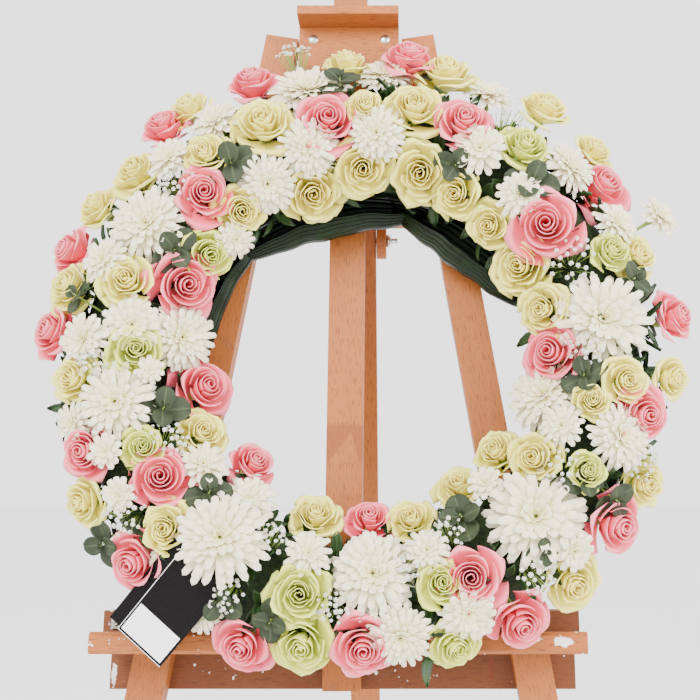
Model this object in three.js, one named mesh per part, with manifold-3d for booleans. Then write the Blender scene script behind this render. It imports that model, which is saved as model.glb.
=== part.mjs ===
// A funeral wreath of pink roses, cream spray roses and white chrysanthemums, standing in the
// tray of a folding beech easel. Millimetres, +Z up, seen from -Y, standing on Z = 0.
import * as THREE from 'three';
import { mergeVertices } from 'three/addons/utils/BufferGeometryUtils.js';
import Module from 'manifold-3d';

const wasm = await Module();
wasm.setup();
const { Manifold } = wasm;
const RAD = Math.PI / 180;

// Driving dimensions of the easel. "Up" is measured along the mast, from the floor.
const LEAN = 12.5 * RAD; // the front frame leans back by this much
const SLACK = 0.3; // gap left between pieces that touch
const MIDDLE_UP = 1088; // the wreath's middle
const LEG_WIDTH = 34;
const LEG_THICK = 20;
const LEG_TOP = MIDDLE_UP + 359;
const LEG_TOP_SPREAD = 71; // from the middle to a leg's centre line, at its top
const LEG_SLOPE = 0.165; // how far a leg runs out for each millimetre down
const MAST_WIDTH = 35;
const MAST_LOW = MIDDLE_UP - 298;
const MAST_TOP = MIDDLE_UP + 520;
const TRAY_UP = MIDDLE_UP - 256.7; // top of the tray's floor
const TRAY_HALF = 217.5;
const FLOOR_THICK = 5;
const BACK_TOP = MIDDLE_UP - 226;
const BACK_THICK = 12;
const LIP_INSIDE = 47.3; // the lip's inner face, before the legs' faces
const LIP_THICK = 8;
const LIP_TOP = TRAY_UP + 13.7;
const REAR_BOARD_THICK = 14;
const YOKE_LOW = MIDDLE_UP + 160;
const YOKE_HIGH = MIDDLE_UP + 262;
const YOKE_HALF = 100;
const YOKE_THICK = 18;
const STRAP_LOW = MIDDLE_UP + 236;
const STRAP_HIGH = MIDDLE_UP + 256;
const STRAP_THICK = 1;
const HINGE_UP = MIDDLE_UP + 153;
const HINGE_BEHIND = 58;
const EAR_THICK = 10;
const REAR_LEG_OPEN = 28 * RAD; // between the front frame and the rear leg
const REAR_LEG_DEPTH = 22;
const REAR_LEG_SIDE = 10; // the rear leg stands this far right of the middle
const REAR_LEG_HEAD = 20.4; // wood above the hinge: its corner stops on the yoke
const BOLT = 3; // radius of the bolts
const HOLDER_HALF = 51.5;
const HOLDER_LOW = MIDDLE_UP + 312;
const HOLDER_THICK = 15;
const HOLDER_LEDGE_LOW = MIDDLE_UP + 361;
const HOLDER_LEDGE_HIGH = MIDDLE_UP + 370;
const HOLDER_REACH = 42;
const HOLDER_BOLT_SIDE = 37;
const HOLDER_BOLT_UP = MIDDLE_UP + 348;

// Driving dimensions of the wreath. A place on it is an angle round the wreath, an angle round
// its section and a distance from the section's centre.
const WREATH_SIDE = 17; // the wreath stands this far right of the mast's middle
const RING_RADIUS = 217; // from the wreath's middle to its section's centre
const SECTION_LIFT = 22; // the section's centre, before the wreath's back
const BASE_FLAT = 256.4; // the base's outside, to the middle of one of its flats
const BASE_INNER = 178;
const BASE_THICK = 14;
const FOAM = 28; // the foam's rounded front, from the section's centre
const BED_INNER = 28.4; // the bed of short greenery on the foam
const BED_OUTER = 49;
const FACE = 86; // the blooms' faces
const SEEN_AT = 78; // the blooms' middles
const CLOSE = 0.87; // of the width read, so that neighbours press less on each other
const BLOOM_GAP = 0.2; // half the gap between neighbouring blooms
const STEM = 4;
const HOLE_ROOM = 0.5; // room around a stem in its hole
const STEM_FOOT = 12;
const SECTORS = 8;
const STEPS_ROUND = 24;
const BASE_OUTER = BASE_FLAT / Math.cos(Math.PI / STEPS_ROUND);
const BED_STEPS = [-76, -38, 0, 38, 76].map((degrees) => degrees * RAD);
const LOW_TILT = 42 * RAD; // blooms over the tray turn outwards no further than this
const LOW_LEVEL = 66; // and stand this far before the wreath's back

// Where the eye stood for the readings below, in millimetres, and its picture's middle and
// focal length, in picture elements.
const EYE = new THREE.Vector3(60, -764.6, 1083);
const EYE_MIDDLE = [407, 350];
const EYE_FOCUS = 1024.6;

// Readings of the blooms, each across, down and width, in picture elements.
const PINK_ROSES = [
  [410, 54, 50], [464, 116, 54], [609, 181, 64], [546, 225, 70], [674, 321, 48], [551, 353, 60],
  [654, 415, 58], [616, 526, 62], [522, 615, 60], [473, 566, 62], [359, 656, 62], [363, 515, 46],
  [243, 649, 56], [129, 564, 58], [161, 475, 60], [248, 462, 46], [74, 457, 54], [196, 388, 60],
  [52, 338, 52], [183, 279, 66], [74, 242, 50], [202, 200, 54], [154, 128, 46], [248, 80, 52],
  [321, 117, 60],
];
const CREAM_ROSES = [
  [192, 103, 42], [258, 128, 58], [199, 145, 40], [132, 170, 50], [95, 206, 42], [243, 208, 44],
  [310, 196, 56], [210, 254, 46], [65, 286, 48], [114, 283, 50], [125, 347, 50], [339, 62, 42],
  [361, 167, 52], [455, 67, 52], [366, 107, 34], [415, 103, 54], [522, 152, 48], [553, 105, 46],
  [592, 143, 36], [417, 170, 56], [462, 199, 46], [488, 232, 42], [515, 272, 54], [607, 252, 38],
  [642, 254, 44], [544, 306, 48], [623, 374, 44], [667, 371, 40], [593, 402, 34], [493, 453, 44],
  [535, 446, 48], [589, 468, 34], [652, 488, 44], [450, 488, 44], [410, 511, 44], [582, 582, 54],
  [430, 591, 44], [444, 645, 48], [295, 593, 56], [301, 647, 58], [319, 513, 46], [165, 529, 46],
  [87, 502, 42], [141, 446, 38], [205, 430, 46], [62, 383, 44],
];
const CHRYSANTHEMUMS = [
  [221, 116, 50], [299, 83, 76], [167, 156, 46], [310, 152, 56], [266, 180, 56], [143, 222, 72],
  [229, 231, 36], [107, 251, 44], [134, 314, 54], [87, 329, 50], [182, 336, 64], [387, 71, 52],
  [381, 134, 54], [498, 93, 44], [480, 146, 52], [563, 156, 54], [511, 192, 44], [619, 222, 44],
  [607, 315, 88], [535, 401, 68], [569, 428, 42], [616, 441, 64], [482, 482, 34], [528, 514, 94],
  [578, 545, 38], [372, 566, 82], [428, 546, 42], [468, 613, 56], [401, 640, 60], [118, 399, 74],
  [148, 371, 26], [71, 418, 38], [109, 456, 34], [208, 473, 48], [118, 489, 34], [259, 497, 52],
  [223, 546, 86], [306, 549, 44], [205, 625, 44], [163, 556, 34], [663, 215, 40],
];
const GYPSOPHILA = [
  [292, 50, 32], [176, 181, 34], [511, 117, 36], [570, 258, 46], [585, 347, 34], [562, 465, 40],
  [645, 461, 36], [446, 531, 34], [408, 562, 30], [539, 578, 36], [122, 513, 42], [169, 438, 36],
  [268, 537, 36], [224, 596, 34], [334, 606, 32], [90, 362, 30],
];
const EUCALYPTUS = [
  [234, 163, 34], [176, 243, 32], [341, 87, 32], [421, 68, 26], [455, 166, 28], [540, 180, 34],
  [626, 272, 30], [573, 380, 30], [466, 515, 34], [568, 493, 28], [615, 487, 28], [546, 553, 22],
  [168, 411, 34], [199, 505, 30], [97, 536, 32], [232, 582, 30], [268, 628, 28], [86, 305, 22],
];
// The gift card's corners on the same reading: lower left, lower right, upper right, upper left.
const CARD_CORNERS = [[118, 628], [160, 667], [222, 588], [182, 549]];
const CARD_LOW_LEVEL = 56; // the card's lower end, before the wreath's back
const CARD_HIGH_LEVEL = 99;
const CARD_THICK = 1;
const CARD_IN_SIGHT = 0.72; // of its length

// Leaves that wrap the ring's inner side: middle, half their length, and how far they bulge.
const WRAP_LEAVES = [
  { name: 'wrap_leaf_left', middle: 163, half: 34, bulge: 0.50 },
  { name: 'wrap_leaf_top', middle: 104, half: 24, bulge: 0.72 },
  { name: 'wrap_leaf_upper_right', middle: 50, half: 28, bulge: 0.72 },
];

// A small seeded generator, so that every run makes the same wreath.
function seeded(seed) {
  let state = seed;
  return () => {
    state = (state * 16807) % 2147483647;
    return state / 2147483647;
  };
}
const draw = seeded(2693);

// A closed three.js geometry as a solid, turned right side out if it has to be.
function solidOf(geometry) {
  const bare = geometry.index ? geometry.toNonIndexed() : geometry;
  const positions = new THREE.BufferGeometry().setAttribute('position', bare.getAttribute('position'));
  const merged = mergeVertices(positions, 1e-4);
  const triVerts = new Uint32Array(merged.index.array);
  const vertProperties = new Float32Array(merged.attributes.position.array);
  const made = new Manifold(new wasm.Mesh({ numProp: 3, vertProperties, triVerts }));
  if (made.volume() > 0) return made;
  for (let i = 0; i < triVerts.length; i += 3) {
    [triVerts[i + 1], triVerts[i + 2]] = [triVerts[i + 2], triVerts[i + 1]];
  }
  return new Manifold(new wasm.Mesh({ numProp: 3, vertProperties, triVerts }));
}

// A solid as a three.js geometry.
function geometryOf(solid) {
  const mesh = solid.getMesh();
  const geometry = new THREE.BufferGeometry();
  geometry.setAttribute('position', new THREE.BufferAttribute(new Float32Array(mesh.vertProperties), 3));
  geometry.setIndex(new THREE.BufferAttribute(new Uint32Array(mesh.triVerts), 1));
  geometry.computeVertexNormals();
  return geometry;
}

// The largest of a solid's separate bodies, for where a cut has left a loose scrap.
function largest(solid) {
  return solid.decompose().reduce((best, body) => (body.volume() > best.volume() ? body : best));
}

// A closed surface through rings of points; a ring may be a single point at either end.
function ringSurface(rings) {
  const positions = [];
  const put = (...points) => points.forEach((p) => positions.push(p.x, p.y, p.z));
  for (let k = 0; k + 1 < rings.length; k++) {
    const [low, high] = [rings[k], rings[k + 1]];
    const count = Math.max(low.length, high.length);
    for (let i = 0; i < count; i++) {
      const j = (i + 1) % count;
      if (low.length === 1) put(low[0], high[i], high[j]);
      else if (high.length === 1) put(low[i], high[0], low[j]);
      else put(low[i], high[i], high[j], low[i], high[j], low[j]);
    }
  }
  const geometry = new THREE.BufferGeometry();
  geometry.setAttribute('position', new THREE.Float32BufferAttribute(positions, 3));
  return geometry;
}

// A closed surface through rings, each of which runs along one side of a strip and back along
// its other side; the end rings are filled between the two sides.
function filledRings(rings) {
  const positions = [...ringSurface(rings).getAttribute('position').array];
  const put = (...points) => points.forEach((p) => positions.push(p.x, p.y, p.z));
  const fill = (ring, turned) => {
    const end = ring.length - 1;
    for (let i = 0; i < end - i - 1; i++) {
      const quad = [ring[i], ring[i + 1], ring[end - i - 1], ring[end - i]];
      const [a, b, c, d] = turned ? quad.reverse() : quad;
      if (turned) put(a, c, d, a, b, c);
      else put(a, b, c, a, c, d);
    }
  };
  fill(rings[0], false);
  fill(rings[rings.length - 1], true);
  const geometry = new THREE.BufferGeometry();
  geometry.setAttribute('position', new THREE.Float32BufferAttribute(positions, 3));
  return geometry;
}

// A stem of three sides, pointed at both ends and thickest at a share of its length.
function stalk(from, to, width, facing, thickest = 0.6) {
  const along = to.clone().sub(from).normalize();
  const across = new THREE.Vector3().crossVectors(along, facing).normalize();
  const up = new THREE.Vector3().crossVectors(across, along);
  const middle = from.clone().lerp(to, thickest);
  const ring = [0, 1, 2].map((i) => (
    middle.clone().addScaledVector(across, Math.cos((i * 2 * Math.PI) / 3) * width * 0.6)
      .addScaledVector(up, Math.sin((i * 2 * Math.PI) / 3) * width * 0.6)));
  return solidOf(ringSurface([[from], ring, [to]]));
}

// A block between two corners, in the easel's front frame.
function block(x0, x1, y0, y1, z0, z1) {
  return new THREE.BoxGeometry(x1 - x0, y1 - y0, z1 - z0)
    .translate((x0 + x1) / 2, (y0 + y1) / 2, (z0 + z1) / 2);
}

const finish = (color, roughness, metalness = 0) => (
  new THREE.MeshStandardMaterial({ color, roughness, metalness }));
const BEECH = finish(0xc89468, 0.5);
const STEEL = finish(0xb8bcc0, 0.3, 1);
const PINK = finish(0xf08a98, 0.6);
const CREAM = finish(0xf3efcf, 0.6);
const DARK_LEAF = finish(0x17301a, 0.35);
const FOAM_GREEN = finish(0x3c5a34, 0.95);
const PLASTIC = finish(0x1c2a1e, 0.5);
const CARD_BLACK = finish(0x121114, 0.55);

// The front frame holds x to the right, y up the mast and z forward from the legs' faces.
const easel = new THREE.Group();
const frontFrame = new THREE.Group();
frontFrame.rotation.x = Math.PI / 2 - LEAN;
easel.add(frontFrame);
const FLOOR_NORMAL = [0, Math.cos(LEAN), Math.sin(LEAN)];

function add(name, shape, look, parent = frontFrame) {
  const mesh = new THREE.Mesh(shape.isBufferGeometry ? shape : geometryOf(shape), look);
  mesh.name = name;
  parent.add(mesh);
}

// A turned piece about the z axis from points of radius and height.
function turned(points, sides) {
  const outline = points.map(([radius, height]) => new THREE.Vector2(radius, height));
  return new THREE.LatheGeometry(outline, sides).rotateX(Math.PI / 2);
}

const boltHole = (x, y, z0, z1) => solidOf(
  new THREE.CylinderGeometry(BOLT + 0.5, BOLT + 0.5, z1 - z0, 10)
    .rotateX(Math.PI / 2).translate(x, y, (z0 + z1) / 2));

// A bolt along z with a domed head in front and a nut behind.
function domedBolt(x, y, back, front) {
  const head = 5.3;
  const nutBack = back - SLACK - 5;
  return turned([
    [0, nutBack], [6, nutBack], [6, back - SLACK],
    [BOLT, back - SLACK], [BOLT, front + SLACK], [head, front + SLACK], [head * 0.7, front + 2.6],
    [0, front + 3.5],
  ], 8).translate(x, y, 0);
}

function buildLegs() {
  const splay = Math.atan(LEG_SLOPE);
  const below = 60;
  const length = (LEG_TOP + below) / Math.cos(splay);
  [-1, 1].forEach((side) => {
    const leg = block(-LEG_WIDTH / 2, LEG_WIDTH / 2, -length, 0, -LEG_THICK, 0);
    leg.rotateZ(side * splay).translate(side * LEG_TOP_SPREAD, LEG_TOP, 0);
    add(side < 0 ? 'leg_left' : 'leg_right', solidOf(leg).trimByPlane(FLOOR_NORMAL, 0), BEECH);
  });
}

// The yoke joins the legs from behind. Two lands on it guide the mast, under a steel strap.
function buildYoke() {
  const front = -LEG_THICK - SLACK;
  const board = solidOf(block(-YOKE_HALF, YOKE_HALF, YOKE_LOW, YOKE_HIGH, front - YOKE_THICK, front));
  const near = MAST_WIDTH / 2 + 0.8;
  const far = 42;
  const lands = [[-far, -near], [near, far]].map(([x0, x1]) => (
    solidOf(block(x0, x1, STRAP_LOW - 6, YOKE_HIGH, front - 1, 0))));
  add('yoke', Manifold.union([board, ...lands]), BEECH);
  add('mast_strap', block(-far, far, STRAP_LOW, STRAP_HIGH, SLACK, SLACK + STRAP_THICK), STEEL);
}

// Two ears on the yoke's back carry the rear leg's bolt.
function buildHinge() {
  const front = -LEG_THICK - YOKE_THICK - 2 * SLACK;
  const round = HINGE_BEHIND + front;
  const inside = LEG_WIDTH / 2 + 1;
  const bore = () => new THREE.CylinderGeometry(BOLT + 0.5, BOLT + 0.5, 120, 10)
    .rotateZ(Math.PI / 2).translate(REAR_LEG_SIDE, HINGE_UP, -HINGE_BEHIND);
  const outline = new THREE.Shape();
  outline.moveTo(front, YOKE_HIGH - 20);
  outline.lineTo(-HINGE_BEHIND, YOKE_HIGH - 20);
  outline.lineTo(-HINGE_BEHIND - round, YOKE_HIGH - 48);
  outline.absarc(-HINGE_BEHIND, HINGE_UP, round, Math.PI, 2 * Math.PI, false);
  [-1, 1].forEach((side) => {
    const ear = new THREE.ExtrudeGeometry(outline, { depth: EAR_THICK, bevelEnabled: false, curveSegments: 8 });
    ear.rotateY(-Math.PI / 2);
    ear.translate(REAR_LEG_SIDE + (side > 0 ? inside + EAR_THICK : -inside), 0, 0);
    add(side < 0 ? 'hinge_ear_left' : 'hinge_ear_right', solidOf(ear).subtract(solidOf(bore())), BEECH);
  });
  const end = inside + EAR_THICK + SLACK;
  const bolt = turned([
    [0, -end - 4], [6.5, -end - 4], [6.5, -end], [BOLT, -end], [BOLT, end], [7, end], [7, end + 5],
    [BOLT, end + 5], [BOLT, end + 12], [0, end + 12],
  ], 10).rotateY(Math.PI / 2);
  add('hinge_bolt', bolt.translate(REAR_LEG_SIDE, HINGE_UP, -HINGE_BEHIND), STEEL);
  const length = 1500;
  const leg = block(-LEG_WIDTH / 2, LEG_WIDTH / 2, REAR_LEG_HEAD - length, REAR_LEG_HEAD,
    -REAR_LEG_DEPTH / 2, REAR_LEG_DEPTH / 2);
  leg.rotateX(REAR_LEG_OPEN).translate(REAR_LEG_SIDE, HINGE_UP, -HINGE_BEHIND);
  add('leg_rear', solidOf(leg).subtract(solidOf(bore())).trimByPlane(FLOOR_NORMAL, 0), BEECH);
}

// The mast with the tray before the legs and the rear board behind them, drawn together by bolts.
function buildMastAndTray() {
  add('mast', block(-MAST_WIDTH / 2, MAST_WIDTH / 2, MAST_LOW, MAST_TOP, -LEG_THICK, 0), BEECH);
  const sides = [-125, 125];
  const boltUp = (TRAY_UP + BACK_TOP) / 2;
  const rearFront = -LEG_THICK - SLACK;
  const drilled = (shape) => sides.reduce((solid, x) => (
    solid.subtract(boltHole(x, boltUp, rearFront - 40, LIP_INSIDE))), solidOf(shape));
  add('rear_board', drilled(block(-TRAY_HALF, TRAY_HALF, MAST_LOW, BACK_TOP,
    rearFront - REAR_BOARD_THICK, rearFront)), BEECH);
  add('tray_back', drilled(block(-TRAY_HALF, TRAY_HALF, TRAY_UP + SLACK, BACK_TOP,
    SLACK, SLACK + BACK_THICK)), BEECH);
  add('tray_floor', block(-TRAY_HALF, TRAY_HALF, TRAY_UP - FLOOR_THICK, TRAY_UP,
    SLACK, LIP_INSIDE - SLACK), BEECH);
  const corner = 3;
  const lip = new THREE.Shape();
  lip.moveTo(LIP_INSIDE, TRAY_UP - FLOOR_THICK);
  lip.lineTo(LIP_INSIDE + LIP_THICK - corner, TRAY_UP - FLOOR_THICK);
  lip.lineTo(LIP_INSIDE + LIP_THICK, TRAY_UP - FLOOR_THICK + corner);
  lip.lineTo(LIP_INSIDE + LIP_THICK, LIP_TOP - corner);
  lip.lineTo(LIP_INSIDE + LIP_THICK - corner, LIP_TOP);
  lip.lineTo(LIP_INSIDE, LIP_TOP);
  const lipShape = new THREE.ExtrudeGeometry(lip, { depth: 2 * TRAY_HALF, bevelEnabled: false });
  add('tray_lip', lipShape.rotateY(-Math.PI / 2).translate(TRAY_HALF, 0, 0), BEECH);
  sides.forEach((x) => add(x < 0 ? 'tray_bolt_left' : 'tray_bolt_right',
    domedBolt(x, boltUp, rearFront - REAR_BOARD_THICK, SLACK + BACK_THICK), STEEL));
}

// The upper holder slides on the mast: a plate before it, one behind it, a ledge and two bolts.
function buildHolder() {
  const front = SLACK + HOLDER_THICK;
  const rearFront = -LEG_THICK - SLACK;
  const rearBack = rearFront - BACK_THICK;
  const sides = [-HOLDER_BOLT_SIDE, HOLDER_BOLT_SIDE];
  const drilled = (shape) => sides.reduce((solid, x) => (
    solid.subtract(boltHole(x, HOLDER_BOLT_UP, rearBack - 5, front + 5))), solidOf(shape));
  add('holder_plate', drilled(block(-HOLDER_HALF, HOLDER_HALF, HOLDER_LOW,
    HOLDER_LEDGE_LOW - SLACK, SLACK, front)), BEECH);
  add('holder_rear_plate', drilled(block(-HOLDER_HALF, HOLDER_HALF, HOLDER_BOLT_UP - 14,
    HOLDER_BOLT_UP + 14, rearBack, rearFront)), BEECH);
  add('holder_ledge', block(-HOLDER_HALF, HOLDER_HALF, HOLDER_LEDGE_LOW, HOLDER_LEDGE_HIGH,
    SLACK, HOLDER_REACH), BEECH);
  sides.forEach((x) => add(x < 0 ? 'holder_bolt_left' : 'holder_bolt_right',
    domedBolt(x, HOLDER_BOLT_UP, rearBack, front), STEEL));
}

buildLegs();
buildYoke();
buildHinge();
buildMastAndTray();
buildHolder();

// The wreath's base stands on the tray's floor and leans on the tray's back and on the strap.
const wreath = new THREE.Group();
const lowTouch = new THREE.Vector2(BACK_TOP - MIDDLE_UP, SLACK + BACK_THICK + SLACK);
const highTouch = new THREE.Vector2(STRAP_HIGH - MIDDLE_UP, 2 * SLACK + STRAP_THICK);
const wreathLean = Math.atan((lowTouch.y - highTouch.y) / (highTouch.x - lowTouch.x));
wreath.rotation.x = -wreathLean;
wreath.position.set(WREATH_SIDE, MIDDLE_UP, lowTouch.y + lowTouch.x * Math.tan(wreathLean));
frontFrame.add(wreath);
easel.updateMatrixWorld(true);
const toWreath = wreath.matrixWorld.clone().invert();
const eye = EYE.clone().applyMatrix4(toWreath);

// A point of the wreath: theta round the wreath, phi round its section, rho from its centre.
function wreathPoint(theta, phi, rho) {
  const reach = RING_RADIUS + rho * Math.sin(phi);
  return new THREE.Vector3(
    reach * Math.cos(theta), reach * Math.sin(theta), SECTION_LIFT + rho * Math.cos(phi));
}

// The point at a level before the wreath's back that a reading points to, and its distance.
function readAt(x, y, level) {
  const sight = new THREE.Vector3((x - EYE_MIDDLE[0]) / EYE_FOCUS, 1, (EYE_MIDDLE[1] - y) / EYE_FOCUS);
  const length = sight.length();
  sight.transformDirection(toWreath).multiplyScalar(length);
  const distance = (level - eye.z) / sight.z;
  return { point: eye.clone().addScaledVector(sight, distance), distance };
}

// The seat of a bloom: found by moving its level until it lies on the blooms' round section.
function seatAt([x, y, across]) {
  let level = SECTION_LIFT + SEEN_AT;
  let found;
  let phi;
  for (let k = 0; k < 40; k++) {
    found = readAt(x, y, level);
    const off = (Math.hypot(found.point.x, found.point.y) - RING_RADIUS) / SEEN_AT;
    phi = Math.asin(Math.max(-0.95, Math.min(0.95, off)));
    level = (level + SECTION_LIFT + SEEN_AT * Math.cos(phi)) / 2;
  }
  const overTray = found.point.y < -190 && phi > LOW_TILT;
  if (overTray) {
    found = readAt(x, y, Math.max(level, LOW_LEVEL));
    phi = LOW_TILT;
  }
  const theta = Math.atan2(found.point.y, found.point.x);
  const normal = wreathPoint(theta, phi, 1).sub(wreathPoint(theta, phi, 0));
  const along = new THREE.Vector3(-Math.sin(theta), Math.cos(theta), 0);
  const side = new THREE.Vector3().crossVectors(normal, along);
  const width = (across * found.distance) / EYE_FOCUS;
  const heart = found.point.clone().addScaledVector(normal, -SEEN_AT);
  const root = overTray ? wreathPoint(theta, 10 * RAD, 16) : wreathPoint(theta, phi, STEM_FOOT);
  const bedRoot = overTray ? wreathPoint(theta, 40 * RAD, 40) : wreathPoint(theta, phi, BED_OUTER - 9);
  return { theta, phi, normal, along, side, width, heart, root, bedRoot };
}

// Proportions of the blooms from their foot to their top: a number is a point on the axis, and
// a list is a ring, as radius at a petal and at a notch, then height at a petal and at a notch.
const ROSE_LARGE = [
  0, [1, 0.8, 0.74, 0.6], [0.64, 0.58, 0.62, 0.56], [0.46, 0.56, 0.84, 0.96],
  [0.24, 0.26, 0.76, 0.8], 0.98,
];
const ROSE_SMALL = [0, [1, 0.8, 0.72, 0.58], [0.62, 0.56, 0.62, 0.58], [0.38, 0.5, 0.86, 1], 0.76];
const MUM_LARGE = [
  0, [1, 0.62, 0.5, 0.42], [0.46, 0.44, 0.66, 0.58], [0.4, 0.74, 0.8, 0.96], 0.84,
];
const MUM_SMALL = [0, [1, 0.56, 0.56, 0.46], [0.42, 0.4, 0.68, 0.62], [0.28, 0.66, 0.8, 0.98], 0.78];

// The shape of a bloom by its kind and width.
function bloomShape(kind, width) {
  if (kind === 'pink') return { profile: ROSE_LARGE, petals: 5, tall: 0.66, least: 30, face: FACE + 3 };
  if (kind === 'cream') return { profile: ROSE_SMALL, petals: 4, tall: 0.6, least: 24, face: FACE };
  if (width > 60) return { profile: MUM_LARGE, petals: 7, tall: 0.36, least: 24, face: FACE };
  return { profile: MUM_SMALL, petals: 5, tall: 0.4, least: 17, face: FACE - 1 };
}

// A bloom's frame on its seat: the point at a radius, a turn and a height over its foot.
function bloomFrame(seat, base) {
  const foot = seat.heart.clone().addScaledVector(seat.normal, base);
  return (radius, turn, height) => foot.clone()
    .addScaledVector(seat.along, radius * Math.cos(turn))
    .addScaledVector(seat.side, radius * Math.sin(turn))
    .addScaledVector(seat.normal, height);
}

function bloomSurface(seat, profile, petals, radius, height, base, turn, foot) {
  const at = bloomFrame(seat, base);
  return ringSurface(profile.map((level) => {
    if (level === 0) return [foot];
    if (typeof level === 'number') return [at(0, 0, level * height)];
    const [petalRadius, notchRadius, petalHeight, notchHeight] = level;
    return Array.from({ length: 2 * petals }, (_, i) => {
      const angle = turn + (Math.PI * i) / petals;
      return i % 2 ? at(notchRadius * radius, angle, notchHeight * height)
        : at(petalRadius * radius, angle, petalHeight * height);
    });
  }));
}

// The room that a bloom's pointed foot takes up in a neighbouring bed.
function footRoom(seat, ring, petals, radius, height, base, turn) {
  const foot = seat.bedRoot.clone().addScaledVector(seat.normal, -3);
  return solidOf(bloomSurface(seat, [0, ring, 0.9], petals, radius + 1.5, height, base, turn, foot));
}

function makeBloom(kind, reading) {
  const seat = seatAt(reading);
  const shape = bloomShape(kind, seat.width);
  const tallest = shape.face - BED_OUTER - 2.5;
  const height = Math.min(tallest, Math.max(shape.least, shape.tall * seat.width));
  const base = shape.face - height;
  const radius = (seat.width / 2) * CLOSE;
  const turn = draw() * Math.PI;
  const foot = kind === 'pink' ? bloomFrame(seat, base)(0, 0, 0) : seat.bedRoot;
  const surface = bloomSurface(seat, shape.profile, shape.petals, radius, height, base, turn, foot);
  const centre = seat.heart.clone().addScaledVector(seat.normal, shape.face - 0.35 * height);
  const room = footRoom(seat, shape.profile[1], shape.petals, radius, height, base, turn);
  return { seat, base, radius, centre, solid: solidOf(surface), room };
}

// A head of gypsophila: a slim core with small florets standing out of it.
function makeGypsophila(reading) {
  const seat = seatAt(reading);
  const radius = seat.width / 2;
  const height = 30;
  const base = FACE - 3 - height;
  const core = [0, [0.7, 0.7, 0.66, 0.66], 0.88];
  const turn = draw();
  const parts = [solidOf(bloomSurface(seat, core, 3, radius, height, base, turn, seat.bedRoot))];
  const at = bloomFrame(seat, base);
  const florets = 5;
  const goldenTurn = 2.4;
  for (let i = 0; i < florets; i++) {
    const spread = Math.sqrt((i + 0.4) / florets);
    const middle = at(spread * 0.8 * radius, i * goldenTurn, height * (0.92 - 0.26 * spread * spread));
    const floret = new THREE.OctahedronGeometry(3.6 + draw());
    floret.rotateX(draw() * 3).rotateY(draw() * 3).translate(middle.x, middle.y, middle.z);
    parts.push(solidOf(floret));
  }
  const centre = seat.heart.clone().addScaledVector(seat.normal, FACE - 3 - 0.35 * height);
  const room = footRoom(seat, core[1], 3, radius, height, base, turn);
  return { seat, base, radius, centre, solid: largest(Manifold.union(parts)), room };
}

// A tip of eucalyptus: three round, cupped leaves opening on a stalk.
function makeEucalyptus(reading) {
  const seat = seatAt(reading);
  const radius = seat.width / 2;
  const height = 26;
  const base = FACE - 6 - height;
  const at = bloomFrame(seat, base);
  const parts = [stalk(seat.bedRoot, at(0, 0, height), 3.4, seat.along)];
  const turn = draw() * Math.PI;
  const leaves = 3;
  const sides = 5;
  const size = radius * 0.66;
  const thick = 1.2;
  for (let i = 0; i < leaves; i++) {
    const direction = turn + (2 * Math.PI * i) / leaves;
    const rise = 0.35 + 0.25 * i;
    const ring = Array.from({ length: sides }, (_, k) => {
      const angle = (2 * Math.PI * (k + 0.5)) / sides;
      const out = size * 0.88 + size * Math.cos(angle);
      const aside = size * Math.sin(angle);
      return at(Math.hypot(out, aside), direction + Math.atan2(aside, out), height - 7 + rise * out);
    });
    const heart = (lift) => at(size * 0.88, direction, height - 7 + rise * size * 0.88 + lift);
    parts.push(solidOf(ringSurface([[heart(-2.4 - thick)], ring, [heart(-2.4 + thick)]])));
  }
  const centre = seat.heart.clone().addScaledVector(seat.normal, FACE - 6 - 0.35 * height);
  const below = seat.bedRoot.clone().addScaledVector(seat.normal, -1.5);
  const room = stalk(below, at(0, 0, height), 5, seat.along);
  return { seat, base, radius, centre, solid: largest(Manifold.union(parts)), room };
}

// A ribbed leaf that bulges from the base's inner edge into the wreath's hole and back under
// the blooms. Its half-width swells and tapers along its length, which lies round the ring.
function wrapLeaf({ middle, half, bulge }, thick) {
  const path = [[176.15, 4], [143, 3], [121, 14], [118, 31], [136, 42]];
  const stations = 7;
  const rings = Array.from({ length: stations + 1 }, (_, i) => {
    const t = (2 * i) / stations - 1;
    const swell = Math.cos((t * Math.PI) / 2) ** 0.55 * bulge + 0.04;
    const theta = (middle + half * t) * RAD;
    const side = (offset) => path.map(([reach, level], k) => {
      const [nextReach, nextLevel] = path[Math.min(k + 1, path.length - 1)];
      const [lastReach, lastLevel] = path[Math.max(k - 1, 0)];
      const length = Math.hypot(nextReach - lastReach, nextLevel - lastLevel);
      const rib = 0.9 * (k % 2) * Math.min(1, swell);
      const r = path[0][0] + (reach - path[0][0]) * swell + ((offset + rib) * (lastLevel - nextLevel)) / length;
      const z = path[0][1] + (level - path[0][1]) * swell + ((offset + rib) * (nextReach - lastReach)) / length;
      return new THREE.Vector3(r * Math.cos(theta), r * Math.sin(theta), z);
    });
    return [...side(-thick / 2), ...side(thick / 2).reverse()];
  });
  return solidOf(filledRings(rings));
}

// The bed of short greenery on the foam, for one sector: what its flowers stand in.
function bedSector(sector) {
  const from = (sector - 0.5) * ((2 * Math.PI) / SECTORS);
  const steps = STEPS_ROUND / SECTORS;
  const edge = 0.0012;
  const rings = Array.from({ length: steps + 1 }, (_, i) => {
    const nudge = { 0: edge, [steps]: -edge }[i] ?? 0;
    const theta = from + (2 * Math.PI * i) / STEPS_ROUND + nudge;
    return [...BED_STEPS.map((phi) => wreathPoint(theta, phi, BED_OUTER)),
      ...[...BED_STEPS].reverse().map((phi) => wreathPoint(theta, phi, BED_INNER))];
  });
  return solidOf(filledRings(rings));
}

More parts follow.
